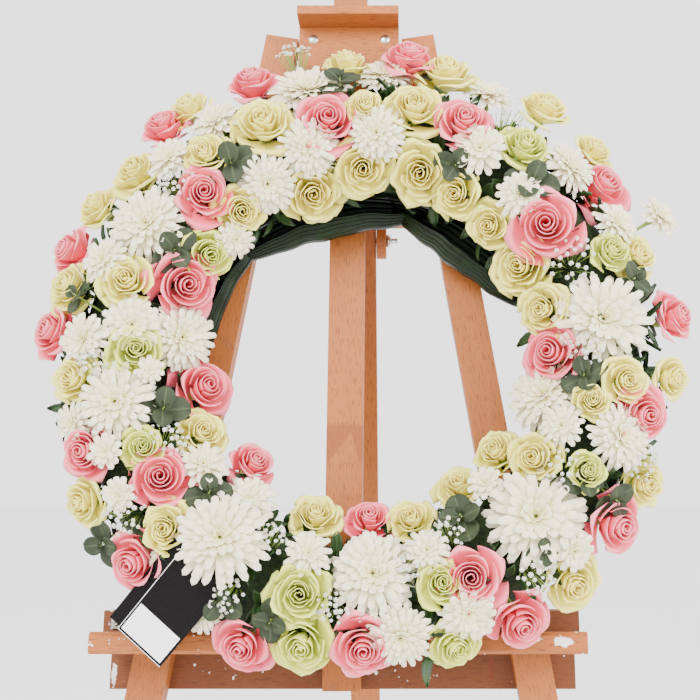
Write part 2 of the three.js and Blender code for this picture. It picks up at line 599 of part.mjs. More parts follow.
// A ring turned about the wreath's middle, in the bed's steps and starting where they do.
function turnedRing(profile) {
  const outline = profile.map(([reach, level]) => new THREE.Vector2(reach, level));
  const start = Math.PI / 2 - Math.PI / SECTORS;
  const ring = new THREE.LatheGeometry([...outline, outline[0]], STEPS_ROUND, start);
  return solidOf(ring.rotateX(Math.PI / 2));
}

// Room that the wreath leaves to the tray and the mast, in the wreath's own frame.
wreath.updateMatrix();
const frontToWreath = wreath.matrix.clone().invert();
const lipOuter = LIP_INSIDE + LIP_THICK + 0.6;
const trayRoom = Manifold.union([
  block(-TRAY_HALF - 1, TRAY_HALF + 1, TRAY_UP - 80, LIP_TOP + 0.5, -10, lipOuter),
  block(-TRAY_HALF - 1, TRAY_HALF + 1, TRAY_UP - 80, BACK_TOP + 1, -10, SLACK + BACK_THICK + 6),
].map((room) => solidOf(room.applyMatrix4(frontToWreath))));

// A thin card between four corners, or the room that it takes up.
function cardSlab(corners, back, front) {
  const across = corners[1].clone().sub(corners[0]);
  const upward = corners[3].clone().sub(corners[0]);
  const normal = new THREE.Vector3().crossVectors(across, upward).normalize();
  const ring = (lift) => corners.map((corner) => corner.clone().addScaledVector(normal, lift));
  return solidOf(filledRings([ring(back), ring(front)]));
}
const cardCorners = CARD_CORNERS.map(([x, y], i) => (
  readAt(x, y, i < 2 ? CARD_LOW_LEVEL : CARD_HIGH_LEVEL).point));
const cardAcross = cardCorners[1].clone().sub(cardCorners[0]);
const cardUpward = cardCorners[3].clone().sub(cardCorners[0]);
cardCorners[2] = cardCorners[1].clone().add(cardUpward);
const cardNormal = new THREE.Vector3().crossVectors(cardAcross, cardUpward).normalize();
const cardShift = cardAcross.clone().multiplyScalar(-0.24).addScaledVector(cardUpward, 0.02)
  .addScaledVector(cardNormal, -CARD_THICK - SLACK);
const rearCorners = cardCorners.map((corner) => corner.clone().add(cardShift));
// Blooms lie over the cards' upper ends and leave the rest of the cards in sight.
const inSight = (corners) => corners.map((corner, i) => (
  i < 2 ? corner : corners[3 - i].clone().addScaledVector(cardUpward, CARD_IN_SIGHT)));
const cardRoom = Manifold.union([cardCorners, rearCorners].flatMap((corners) => [
  cardSlab(corners, -CARD_THICK / 2 - SLACK, CARD_THICK / 2 + SLACK),
  cardSlab(inSight(corners), -CARD_THICK / 2 - SLACK, CARD_THICK / 2 + 30),
]));

// Every bloom, with the node that it belongs to.
const SECTOR_NAMES = [
  'right', 'upper_right', 'top', 'upper_left', 'left', 'lower_left', 'bottom', 'lower_right'];
const sectorOf = (theta) => Math.floor((theta / (2 * Math.PI) + 1) * SECTORS + 0.5) % SECTORS;
const blooms = [];
PINK_ROSES.forEach((reading, i) => {
  const node = `pink_rose_${String(i + 1).padStart(2, '0')}`;
  blooms.push({ ...makeBloom('pink', reading), kind: 'pink', node });
});
const addToSector = (kind, made) => blooms.push({
  ...made, kind, node: `mixed_flowers_${SECTOR_NAMES[sectorOf(made.seat.theta)]}` });
CREAM_ROSES.forEach((reading) => addToSector('cream', makeBloom('cream', reading)));
CHRYSANTHEMUMS.forEach((reading) => addToSector('mum', makeBloom('mum', reading)));
GYPSOPHILA.forEach((reading) => addToSector('gypsophila', makeGypsophila(reading)));
EUCALYPTUS.forEach((reading) => addToSector('eucalyptus', makeEucalyptus(reading)));

// Neighbours are cut at the plane between them, which lies nearer to the smaller one.
blooms.forEach((a, i) => blooms.slice(i + 1).forEach((b) => {
  const between = b.centre.clone().sub(a.centre);
  const distance = between.length();
  if (distance > a.radius + b.radius + 45) return;
  if (a.solid.minGap(b.solid, 2 * BLOOM_GAP) > 1.9 * BLOOM_GAP) return;
  const normal = between.normalize();
  const share = (distance * distance + a.radius ** 2 - b.radius ** 2) / (2 * distance);
  const level = normal.dot(a.centre) + Math.max(0.3 * distance, Math.min(0.7 * distance, share));
  a.solid = largest(a.solid.trimByPlane(normal.clone().negate().toArray(), -(level - BLOOM_GAP)));
  b.solid = largest(b.solid.trimByPlane(normal.toArray(), level + BLOOM_GAP));
}));

const wrapLeaves = WRAP_LEAVES.map((leaf) => (
  { name: leaf.name, solid: wrapLeaf(leaf, 1.2), room: wrapLeaf(leaf, 2.2) }));
const leafRoom = Manifold.union(wrapLeaves.map(({ room }) => room));
const BACK_LEVEL = 6; // nothing but the base and the leaves reaches further back than this
blooms.forEach((bloom) => {
  const clear = bloom.solid.subtract(trayRoom).subtract(cardRoom).subtract(leafRoom);
  bloom.solid = largest(clear.trimByPlane([0, 0, 1], BACK_LEVEL));
});

// Stems: a bloom of its own node stands in a plain hole through the bed into the foam.
function stemOf({ seat, base, kind }, roomAround = 0) {
  const root = kind === 'pink' ? seat.root : seat.bedRoot;
  const top = seat.heart.clone().addScaledVector(seat.normal, base + 7);
  const back = top.clone().sub(root).normalize().multiplyScalar(-3 * roomAround);
  return stalk(root.clone().add(back), top, STEM + 2 * roomAround, seat.along);
}
// Other blooms reach the bed with a pointed foot, or with a stem where a neighbour stands on it.
function hasFoot({ solid, seat }) {
  const { x, y, z } = seat.bedRoot;
  return solid.minGap(solidOf(new THREE.OctahedronGeometry(1).translate(x, y, z)), 2) < 1;
}
const nodes = new Map();
blooms.forEach((bloom) => {
  if (!nodes.has(bloom.node)) nodes.set(bloom.node, []);
  nodes.get(bloom.node).push(bloom.solid);
  if (bloom.kind === 'pink' || !hasFoot(bloom)) nodes.get(bloom.node).push(stemOf(bloom));
});
const holes = Manifold.union(blooms.filter(({ kind }) => kind === 'pink').map((bloom) => stemOf(bloom, HOLE_ROOM)));

// Each sector's bed has two pegs, cut stems that stand in the foam.
const PEG_ANGLES = [-12, 12];
const pegHoles = [];
SECTOR_NAMES.forEach((name, sector) => {
  const strangers = blooms.filter(({ kind, node, seat }) => (
    kind !== 'pink' && node !== `mixed_flowers_${name}`
    && Math.cos(seat.theta - (sector * 2 * Math.PI) / SECTORS) > Math.cos(Math.PI / SECTORS + 0.03)));
  const bed = [trayRoom, cardRoom, leafRoom, holes, ...strangers.map(({ room }) => room)]
    .reduce((solid, room) => solid.subtract(room), bedSector(sector));
  const pegs = PEG_ANGLES.map((angle) => {
    const theta = (sector * 2 * Math.PI) / SECTORS + angle * RAD;
    const side = new THREE.Vector3(-Math.sin(theta), Math.cos(theta), 0);
    const peg = (room) => stalk(wreathPoint(theta, 0, STEM_FOOT - 3 * room),
      wreathPoint(theta, 0, BED_INNER + 6), STEM + 2 * room, side);
    pegHoles.push(peg(HOLE_ROOM));
    return peg(0);
  });
  nodes.get(`mixed_flowers_${name}`).push(largest(bed), ...pegs);
});

const foamFront = [...BED_STEPS].reverse().map((phi) => (
  [RING_RADIUS + FOAM * Math.sin(phi), SECTION_LIFT + FOAM * Math.cos(phi)]));
const FOAM_LOW = BASE_THICK - 4;
const foam = turnedRing([
  [RING_RADIUS - FOAM + 0.6, FOAM_LOW], [RING_RADIUS + FOAM - 0.6, FOAM_LOW],
  [RING_RADIUS + FOAM - 0.6, SECTION_LIFT + 6], ...foamFront,
]).subtract(Manifold.union([holes, ...pegHoles]));
const seatHalf = FOAM - 0.6 + SLACK;
const base = turnedRing([
  [BASE_INNER, 0], [BASE_OUTER, 0], [BASE_OUTER, BASE_THICK],
  [RING_RADIUS + seatHalf, BASE_THICK], [RING_RADIUS + seatHalf, FOAM_LOW - SLACK],
  [RING_RADIUS - seatHalf, FOAM_LOW - SLACK], [RING_RADIUS - seatHalf, BASE_THICK],
  [BASE_INNER, BASE_THICK],
]);
add('ring_base', base, PLASTIC, wreath);
add('foam_ring', foam, FOAM_GREEN, wreath);
nodes.forEach((parts, name) => {
  add(name, Manifold.union(parts), name.startsWith('pink') ? PINK : CREAM, wreath);
});
wrapLeaves.forEach(({ name, solid }) => add(name, solid, DARK_LEAF, wreath));
add('card_front', cardSlab(cardCorners, -CARD_THICK / 2, CARD_THICK / 2), CARD_BLACK, wreath);
add('card_rear', cardSlab(rearCorners, -CARD_THICK / 2, CARD_THICK / 2), CARD_BLACK, wreath);

// The origin is on the floor, below the middle of everything.
easel.updateMatrixWorld(true);
const extent = new THREE.Box3().setFromObject(easel, true);
const origin = extent.getCenter(new THREE.Vector3()).setZ(extent.min.z);
const model = new THREE.Group();
easel.position.copy(origin.negate());
model.add(easel);

export default model;
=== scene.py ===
"""Looks of a funeral wreath that stands in the tray of a folding beech easel.

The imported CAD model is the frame. The easel's boards keep their CAD solids and get beech, its
bolts are turned anew, and every rose, chrysanthemum, head of gypsophila, tip of eucalyptus and
wrapping leaf is grown petal by petal on the same seat as its CAD solid.
"""
from __future__ import annotations

import logging
import math
from dataclasses import dataclass, field, replace
from enum import Enum
from typing import Callable, Sequence

import bpy
import numpy as np
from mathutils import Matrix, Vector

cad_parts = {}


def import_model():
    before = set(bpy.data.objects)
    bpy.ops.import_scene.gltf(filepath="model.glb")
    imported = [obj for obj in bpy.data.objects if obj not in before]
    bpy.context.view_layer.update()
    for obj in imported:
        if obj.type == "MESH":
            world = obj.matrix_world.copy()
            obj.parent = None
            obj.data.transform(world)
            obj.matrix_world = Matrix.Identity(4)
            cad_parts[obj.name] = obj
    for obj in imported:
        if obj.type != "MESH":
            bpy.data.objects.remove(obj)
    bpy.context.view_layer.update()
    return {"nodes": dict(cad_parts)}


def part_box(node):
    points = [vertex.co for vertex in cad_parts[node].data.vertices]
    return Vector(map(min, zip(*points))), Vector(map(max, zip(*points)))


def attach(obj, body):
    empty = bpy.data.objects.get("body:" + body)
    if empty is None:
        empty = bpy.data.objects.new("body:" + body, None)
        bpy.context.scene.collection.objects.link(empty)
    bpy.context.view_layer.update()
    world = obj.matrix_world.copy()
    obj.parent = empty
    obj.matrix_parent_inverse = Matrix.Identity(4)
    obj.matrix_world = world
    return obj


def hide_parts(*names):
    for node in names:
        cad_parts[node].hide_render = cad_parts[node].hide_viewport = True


LOG = logging.getLogger("wreath")
MM = 0.001
GOLDEN_TURN = math.pi * (3 - math.sqrt(5))
Colour = tuple[float, float, float]
Reading = tuple[float, float, float]
Placing = Callable[[np.ndarray, np.ndarray, np.ndarray], np.ndarray]


class Body(Enum):
    """The rigid bodies that new pieces ride on."""

    FRAME = "frame"
    MAST = "mast"
    HOLDER = "holder"


class Rose(Enum):
    """The two kinds of rose on the wreath."""

    PINK = "pink"
    CREAM = "cream"


# Readings of the blooms, each across, down and width, in picture elements.
PINK_ROSES: list[Reading] = [
    (410, 54, 50), (464, 116, 54), (609, 181, 64), (546, 225, 70), (674, 321, 48), (551, 353, 60),
    (654, 415, 58), (616, 526, 62), (522, 615, 60), (473, 566, 62), (359, 656, 62), (363, 515, 46),
    (243, 649, 56), (129, 564, 58), (161, 475, 60), (248, 462, 46), (74, 457, 54), (196, 388, 60),
    (52, 338, 52), (183, 279, 66), (74, 242, 50), (202, 200, 54), (154, 128, 46), (248, 80, 52),
    (321, 117, 60),
]
CREAM_ROSES: list[Reading] = [
    (192, 103, 42), (258, 128, 58), (199, 145, 40), (132, 170, 50), (95, 206, 42), (243, 208, 44),
    (310, 196, 56), (210, 254, 46), (65, 286, 48), (114, 283, 50), (125, 347, 50), (339, 62, 42),
    (361, 167, 52), (455, 67, 52), (366, 107, 34), (415, 103, 54), (522, 152, 48), (553, 105, 46),
    (592, 143, 36), (417, 170, 56), (462, 199, 46), (488, 232, 42), (515, 272, 54), (607, 252, 38),
    (642, 254, 44), (544, 306, 48), (623, 374, 44), (667, 371, 40), (593, 402, 34), (493, 453, 44),
    (535, 446, 48), (589, 468, 34), (652, 488, 44), (450, 488, 44), (410, 511, 44), (582, 582, 54),
    (430, 591, 44), (444, 645, 48), (295, 593, 56), (301, 647, 58), (319, 513, 46), (165, 529, 46),
    (87, 502, 42), (141, 446, 38), (205, 430, 46), (62, 383, 44),
]
GREENISH_ROSES = {(210, 254), (125, 347), (589, 468), (430, 591), (444, 645), (141, 446), (301, 647),
                  (522, 152), (607, 252), (295, 593)}
CHRYSANTHEMUMS: list[Reading] = [
    (221, 116, 50), (299, 83, 76), (167, 156, 46), (310, 152, 56), (266, 180, 56), (143, 222, 72),
    (229, 231, 36), (107, 251, 44), (134, 314, 54), (87, 329, 50), (182, 336, 64), (387, 71, 52),
    (381, 134, 54), (498, 93, 44), (480, 146, 52), (563, 156, 54), (511, 192, 44), (619, 222, 44),
    (607, 315, 88), (535, 401, 68), (569, 428, 42), (616, 441, 64), (482, 482, 34), (528, 514, 94),
    (578, 545, 38), (372, 566, 82), (428, 546, 42), (468, 613, 56), (401, 640, 60), (118, 399, 74),
    (148, 371, 26), (71, 418, 38), (109, 456, 34), (208, 473, 48), (118, 489, 34), (259, 497, 52),
    (223, 546, 86), (306, 549, 44), (205, 625, 44), (163, 556, 34), (663, 215, 40),
]
GYPSOPHILA: list[Reading] = [
    (292, 50, 32), (176, 181, 34), (511, 117, 36), (570, 258, 46), (585, 347, 34), (562, 465, 40),
    (645, 461, 36), (446, 531, 34), (408, 562, 30), (539, 578, 36), (122, 513, 42), (169, 438, 36),
    (268, 537, 36), (224, 596, 34), (334, 606, 32), (90, 362, 30),
]
EUCALYPTUS: list[Reading] = [
    (234, 163, 34), (176, 243, 32), (341, 87, 32), (421, 68, 26), (455, 166, 28), (540, 180, 34),
    (626, 272, 30), (573, 380, 30), (466, 515, 34), (568, 493, 28), (615, 487, 28), (546, 553, 22),
    (168, 411, 34), (199, 505, 30), (97, 536, 32), (232, 582, 30), (268, 628, 28), (86, 305, 22),
]
CARD_CORNERS = [(118, 628), (160, 667), (222, 588), (182, 549)]
# Chrysanthemums by the cards, and how far each is drawn towards the eye, in millimetres.
BY_THE_CARDS = {(223, 546): 15.0, (163, 556): -15.0, (205, 625): -11.0}
SECTORS = [f"mixed_flowers_{side}" for side in (
    "right", "upper_right", "top", "upper_left", "left", "lower_left", "bottom", "lower_right")]


@dataclass(frozen=True)
class Wire:
    """One output in a material's node tree; arithmetic on it adds nodes."""

    tree: bpy.types.NodeTree
    socket: bpy.types.NodeSocket

    def math(self, operation: str, *others: "Wire | float", clamp: bool = False) -> "Wire":
        """Adds a math node.

        Args:
            operation: Blender's name of the operation.
            others: the second and third operands.
            clamp: whether the result is kept from 0 to 1.

        Returns:
            The node's result.
        """
        node = self.tree.nodes.new("ShaderNodeMath")
        node.operation = operation
        node.use_clamp = clamp
        for socket, operand in zip(node.inputs, (self, *others)):
            if isinstance(operand, Wire):
                self.tree.links.new(operand.socket, socket)
            else:
                socket.default_value = operand
        return Wire(self.tree, node.outputs[0])

    def __add__(self, other: "Wire | float") -> "Wire":
        """Returns the sum."""
        return self.math("ADD", other)

    def __sub__(self, other: "Wire | float") -> "Wire":
        """Returns the difference."""
        return self.math("SUBTRACT", other)

    def __rsub__(self, other: float) -> "Wire":
        """Returns a number less this wire."""
        return self * -1.0 + other

    def __mul__(self, other: "Wire | float") -> "Wire":
        """Returns the product."""
        return self.math("MULTIPLY", other)

    __radd__, __rmul__ = __add__, __mul__

    def __pow__(self, other: float) -> "Wire":
        """Returns the power."""
        return self.math("POWER", other)

    def between(self, low: float, high: float) -> "Wire":
        """Returns 0 at low and 1 at high, kept in that range."""
        return ((self - low) * (1 / (high - low))).math("MAXIMUM", 0.0, clamp=True)


class Paint:
    """A principled material under construction."""

    def __init__(self, name: str, roughness: float, metallic: float = 0.0) -> None:
        """Makes the material.

        Args:
            name: the material's name.
            roughness: its roughness where nothing varies it.
            metallic: 1 for bare metal.
        """
        self.material = bpy.data.materials.new(name)
        self.material.use_nodes = True
        self.tree = self.material.node_tree
        self.shader = self.tree.nodes["Principled BSDF"]
        self.shader.inputs["Roughness"].default_value = roughness
        self.shader.inputs["Metallic"].default_value = metallic

    def node(self, kind: str, inputs: dict | None = None, **settings: object) -> bpy.types.Node:
        """Adds a node.

        Args:
            kind: Blender's type name.
            inputs: values or wires for the node's inputs.
            settings: the node's own settings.

        Returns:
            The node.
        """
        made = self.tree.nodes.new(kind)
        for key, value in settings.items():
            setattr(made, key, value)
        for key, value in (inputs or {}).items():
            if isinstance(value, Wire):
                self.tree.links.new(value.socket, made.inputs[key])
            else:
                made.inputs[key].default_value = value
        return made

    def wire(self, node: bpy.types.Node, output: int | str = 0) -> Wire:
        """Returns one output of a node."""
        return Wire(self.tree, node.outputs[output])

    def tone(self) -> tuple[Wire, Wire, Wire]:
        """Reads the tone that each point carries.

        Returns:
            A point's place along its petal, its petal's draw and its depth in the bloom.
        """
        source = self.node("ShaderNodeAttribute", attribute_name="tone")
        split = self.node("ShaderNodeSeparateColor", {"Color": self.wire(source, "Color")})
        return self.wire(split, 0), self.wire(split, 1), self.wire(split, 2)

    def place(self, turn: Sequence[float] = (0, 0, 0), scale: Sequence[float] = (1, 1, 1)) -> Wire:
        """Reads object coordinates.

        Args:
            turn: the angles they are turned by first.
            scale: what they are multiplied by afterwards.

        Returns:
            The place.
        """
        source = self.node("ShaderNodeTexCoord")
        turned = self.node("ShaderNodeMapping", {
            "Vector": self.wire(source, "Object"), "Rotation": tuple(turn)})
        return self.wire(self.node("ShaderNodeMapping", {
            "Vector": self.wire(turned), "Scale": tuple(scale)}))

    def noise(self, place: Wire, scale: float, detail: float = 3.0, distortion: float = 0.0) -> Wire:
        """Returns noise from 0 to 1 at a place."""
        return self.wire(self.node("ShaderNodeTexNoise", {
            "Vector": place, "Scale": scale, "Detail": detail, "Distortion": distortion}), "Fac")

    def nearness(self, place: Wire, centre: Sequence[float], reach: Sequence[float]) -> Wire:
        """Finds how near a place is to a centre: 1 there, falling to 0 on an ellipsoid round it.

        Args:
            place: the place.
            centre: the ellipsoid's centre.
            reach: its three half-axes.

        Returns:
            The nearness.
        """
        moved = self.node("ShaderNodeVectorMath", {0: place, 1: tuple(centre)}, operation="SUBTRACT")
        shrunk = self.node("ShaderNodeVectorMath", {
            0: self.wire(moved), 1: tuple(1 / r for r in reach)}, operation="MULTIPLY")
        length = self.node("ShaderNodeVectorMath", {0: self.wire(shrunk)}, operation="LENGTH")
        return (1.0 - self.wire(length, "Value")).math("MAXIMUM", 0.0)

    def mix(self, factor: Wire | float, low: Wire | Colour, high: Wire | Colour) -> Wire:
        """Returns a colour between two, by a factor."""
        ends = {6 + i: c if isinstance(c, Wire) else (*c, 1.0) for i, c in enumerate((low, high))}
        return self.wire(self.node("ShaderNodeMix", {0: factor, **ends}, data_type="RGBA"), 2)

    def feed(self, socket: str, wire: Wire) -> None:
        """Links a wire to one of the shader's sockets."""
        self.tree.links.new(wire.socket, self.shader.inputs[socket])

    def bump(self, height: Wire, depth: float, strength: float = 1.0) -> None:
        """Raises the surface by a height from 0 to 1 over a depth in metres."""
        self.feed("Normal", self.wire(self.node(
            "ShaderNodeBump", {"Height": height, "Distance": depth, "Strength": strength})))


def shaded(colour: Colour, share: float) -> Colour:
    """Returns a colour multiplied by a share, kept at 1 or below."""
    return tuple(min(1.0, share * c) for c in colour)


@dataclass(frozen=True)
class PetalFinish:
    """Soft petals: one colour in the heart, one on the face and one along the rim, with one at the
    foot; on the roses the deeper heart and foot colours are partly painted shade in the cup.
    """

    name: str
    heart: Colour
    face: Colour
    rim: Colour
    foot: Colour
    roughness: float = 0.6
    heart_reach: float = 1.6

    def material(self) -> bpy.types.Material:
        """Builds the material.

        Returns:
            The material.
        """
        paint = Paint(self.name, self.roughness)
        along, pick, depth = paint.tone()
        cloud = paint.noise(paint.place(), 260.0, 2.0)
        # On the roses the heart colour of the inner petals and the foot colour at each petal's base are
        # partly their own deeper colour and partly painted shade in the bloom's cup.
        body = paint.mix((depth ** self.heart_reach) * 0.95, self.face, self.heart)
        body = paint.mix((along ** 4.0) * 0.75, body, self.rim)
        body = paint.mix((1.0 - along).between(0.72, 1.0) * 0.8, body, self.foot)
        body = paint.mix(0.22 * pick + 0.16 * cloud, body, shaded(self.face, 0.72))
        paint.feed("Base Color", body)
        paint.bump(paint.noise(paint.place(), 900.0, 2.0), 0.0006, 0.35)
        paint.feed("Roughness", pick * 0.12 + self.roughness)
        paint.shader.inputs["Sheen Weight"].default_value = 0.12
        return paint.material


@dataclass(frozen=True)
class LeafFinish:
    """Green leaves with a midrib, veins and a waxy or dull bloom."""

    name: str
    dark: Colour
    light: Colour
    roughness: float
    coat: float = 0.0
    ribs: float = 0.0
    gloss: float = 0.3

    def material(self) -> bpy.types.Material:
        """Builds the material.

        Returns:
            The material.
        """
        paint = Paint(self.name, self.roughness)
        across, pick, depth = paint.tone()
        cloud = paint.noise(paint.place(), 90.0, 4.0)
        body = paint.mix(cloud.between(0.35, 0.7), self.dark, self.light)
        body = paint.mix(pick * 0.35, body, shaded(self.dark, 0.6))
        if self.ribs:
            rib = (across * (self.ribs * 2 * math.pi)).math("SINE") * 0.5 + 0.5
            strip = (across * (self.ribs * 0.37 * math.pi)).math("SINE") * 0.5 + 0.5
            body = paint.mix((rib ** 6.0) * 0.3 + strip * 0.22, body, self.light)
            paint.bump(rib + strip, 0.0012, 0.9)
            paint.feed("Roughness", cloud * 0.14 + self.roughness)
        else:
            midrib = (depth - 0.5).math("ABSOLUTE").between(0.07, 0.0)
            body = paint.mix(midrib * 0.5, body, shaded(self.light, 1.9))
            paint.bump(cloud, 0.0007, 0.5)
            paint.feed("Roughness", cloud * 0.2 + self.roughness)
        paint.feed("Base Color", body)
        paint.shader.inputs["Specular IOR Level"].default_value = self.gloss
        paint.shader.inputs["Coat Weight"].default_value = self.coat
        paint.shader.inputs["Coat Roughness"].default_value = 0.25
        return paint.material


@dataclass(frozen=True)
class BeechFinish:
    """Oiled beech: short dark flecks along the grain, soft bands, paint specks and a few stains."""

    name: str
    turn: tuple[float, float, float]
    # light and dark are the wood's two colours; the boards in the tray's shade are given darker ones,
    # which paint that shade.
    light: Colour = (0.42, 0.128, 0.026)
    dark: Colour = (0.17, 0.040, 0.007)
    stained: bool = False
    specks: float = 0.0
    marks: tuple[tuple[float, float, float, float, Colour], ...] = ()

    def _stain(self, paint: Paint, flecks: Wire) -> Wire:
        """Finds the pair of stains: below a level top edge, down to a limit that rises as a V
        towards the notch between them, its edges feathered along the grain.

        Args:
            paint: the wood's material.
            flecks: the noise that feathers the edges.

        Returns:
            1 on the stains and 0 elsewhere.
        """
        split = paint.node("ShaderNodeSeparateXYZ", {"Vector": paint.place()})
        across = paint.wire(split, 0) * 1000.0 - 6.4
        down = paint.wire(split, 2) * -1000.0 + 1012.0 + flecks * 14.0 - 7.0
        limit = (across * -1.28).math("MAXIMUM", across * 3.8) + 9.0
        limit = limit.math("MINIMUM", 37.0)
        return (limit - down).between(-1.5, 3.0) * down.between(-1.0, 2.0)

    def material(self) -> bpy.types.Material:
        """Builds the material, its grain along the turned Z axis.

        Returns:
            The material.
        """
        paint = Paint(self.name, 0.5)
        bands = paint.noise(paint.place(self.turn, (1, 1, 0.05)), 46.0, 3.0, 0.6)
        flecks = paint.noise(paint.place(self.turn, (1, 1, 0.11)), 900.0, 2.0)
        pores = paint.noise(paint.place(self.turn, (1, 1, 0.22)), 1500.0, 1.0)
        broad = paint.noise(paint.place(self.turn, (1, 1, 0.3)), 7.0, 2.0)
        body = paint.mix(bands.between(0.3, 0.75) * 0.5, self.light, tuple(
            0.5 * (a + b) for a, b in zip(self.light, self.dark)))
        fleck = flecks.between(0.54, 0.66)
        body = paint.mix(fleck * 0.72, body, self.dark)
        body = paint.mix(broad.between(0.45, 0.75) * 0.30, body, self.dark)
        smudge = paint.noise(paint.place(self.turn, (1, 1, 0.4)), 38.0, 5.0, 1.2)
        body = paint.mix(smudge.between(0.62, 0.80) * 0.45, body, (0.13, 0.085, 0.06))
        if self.stained:
            stain = self._stain(paint, flecks) * (flecks * 0.5 + 0.5)
            body = paint.mix(stain, body, (0.24, 0.060, 0.012))
        ragged = paint.noise(paint.place(), 260.0, 4.0)
        for across, up, wide, tall, colour in self.marks:
            near = paint.nearness(paint.place((0, 0, 0), (1, 0, 1)), (across * MM, 0.0, up * MM),
                                  (wide * MM, 1.0, tall * MM))
            body = paint.mix((near + ragged * 0.9).between(0.78, 0.90) * 0.9, body, colour)
        if self.specks:
            dots = paint.noise(paint.place(), 210.0, 1.0).between(0.735 - 0.02 * self.specks, 0.75)
            body = paint.mix(dots, body, (0.86, 0.84, 0.80))
        paint.feed("Base Color", body)
        paint.feed("Roughness", pores * 0.22 + 0.42)
        paint.shader.inputs["Specular IOR Level"].default_value = 0.3
        paint.bump(flecks * -0.6 + pores * 0.25, 0.0004, 0.55)
        return paint.material


@dataclass(frozen=True)
class MetalFinish:
    """Zinc-plated steel with a fine, dull haze in its colour, roughness and surface."""

    name: str
    colour: Colour = (0.62, 0.63, 0.65)
    roughness: float = 0.24

    def material(self) -> bpy.types.Material:
        """Builds the material.

        Returns:
            The material.
        """
        paint = Paint(self.name, self.roughness, 1.0)
        haze = paint.noise(paint.place(), 420.0, 4.0)
        body = paint.mix(haze.between(0.35, 0.75), self.colour, shaded(self.colour, 0.72))
        paint.feed("Base Color", body)
        paint.feed("Roughness", haze * 0.3 + self.roughness * 0.6)
        paint.bump(haze, 0.0002, 0.3)
        return paint.material


@dataclass(frozen=True)
class DullFinish:
    """A dull surface of two close colours, such as foam, moulded plastic, card or the near-black bed of
    greenery and painted shade.
    """

    name: str
    first: Colour
    second: Colour
    roughness: float
    grain: float
    depth: float
    gloss: float = 0.5

    def material(self) -> bpy.types.Material:
        """Builds the material.

        Returns:
            The material.
        """
        paint = Paint(self.name, self.roughness)
        speckle = paint.noise(paint.place(), self.grain, 4.0)
        paint.feed("Base Color", paint.mix(speckle.between(0.35, 0.65), self.first, self.second))
        paint.feed("Roughness", speckle * 0.15 + self.roughness - 0.07)
        paint.bump(speckle, self.depth, 0.8)
        paint.shader.inputs["Specular IOR Level"].default_value = self.gloss
        return paint.material


def stacked(*parts: np.ndarray | float) -> np.ndarray:
    """Returns arrays broadcast together and stacked along a new last axis."""
    return np.stack(np.broadcast_arrays(*parts), axis=-1)


def unit(vector: np.ndarray) -> np.ndarray:
    """Returns a vector, or each of several, made one long."""
    return vector / np.maximum(np.linalg.norm(vector, axis=-1, keepdims=True), 1e-9)


def lathe_quads(rings: int, sides: int) -> np.ndarray:
    """Joins closed rings of points in order and fills the two end rings.

    Args:
        rings: how many rings.
        sides: how many points each has, an even count.

    Returns:
        (faces, 4), each ring's points being numbered on from the ring before.
    """
    ids = np.arange(rings * sides).reshape(rings, sides)
    after = np.roll(ids, -1, axis=1)
    walls = np.stack([ids[:-1], after[:-1], after[1:], ids[1:]], axis=-1).reshape(-1, 4)
    ends = [[ring[i], ring[i + 1], ring[-2 - i], ring[-1 - i]]
            for ring in (ids[0][::-1], ids[-1]) for i in range(sides // 2 - 1)]
    return np.concatenate([walls, ends])


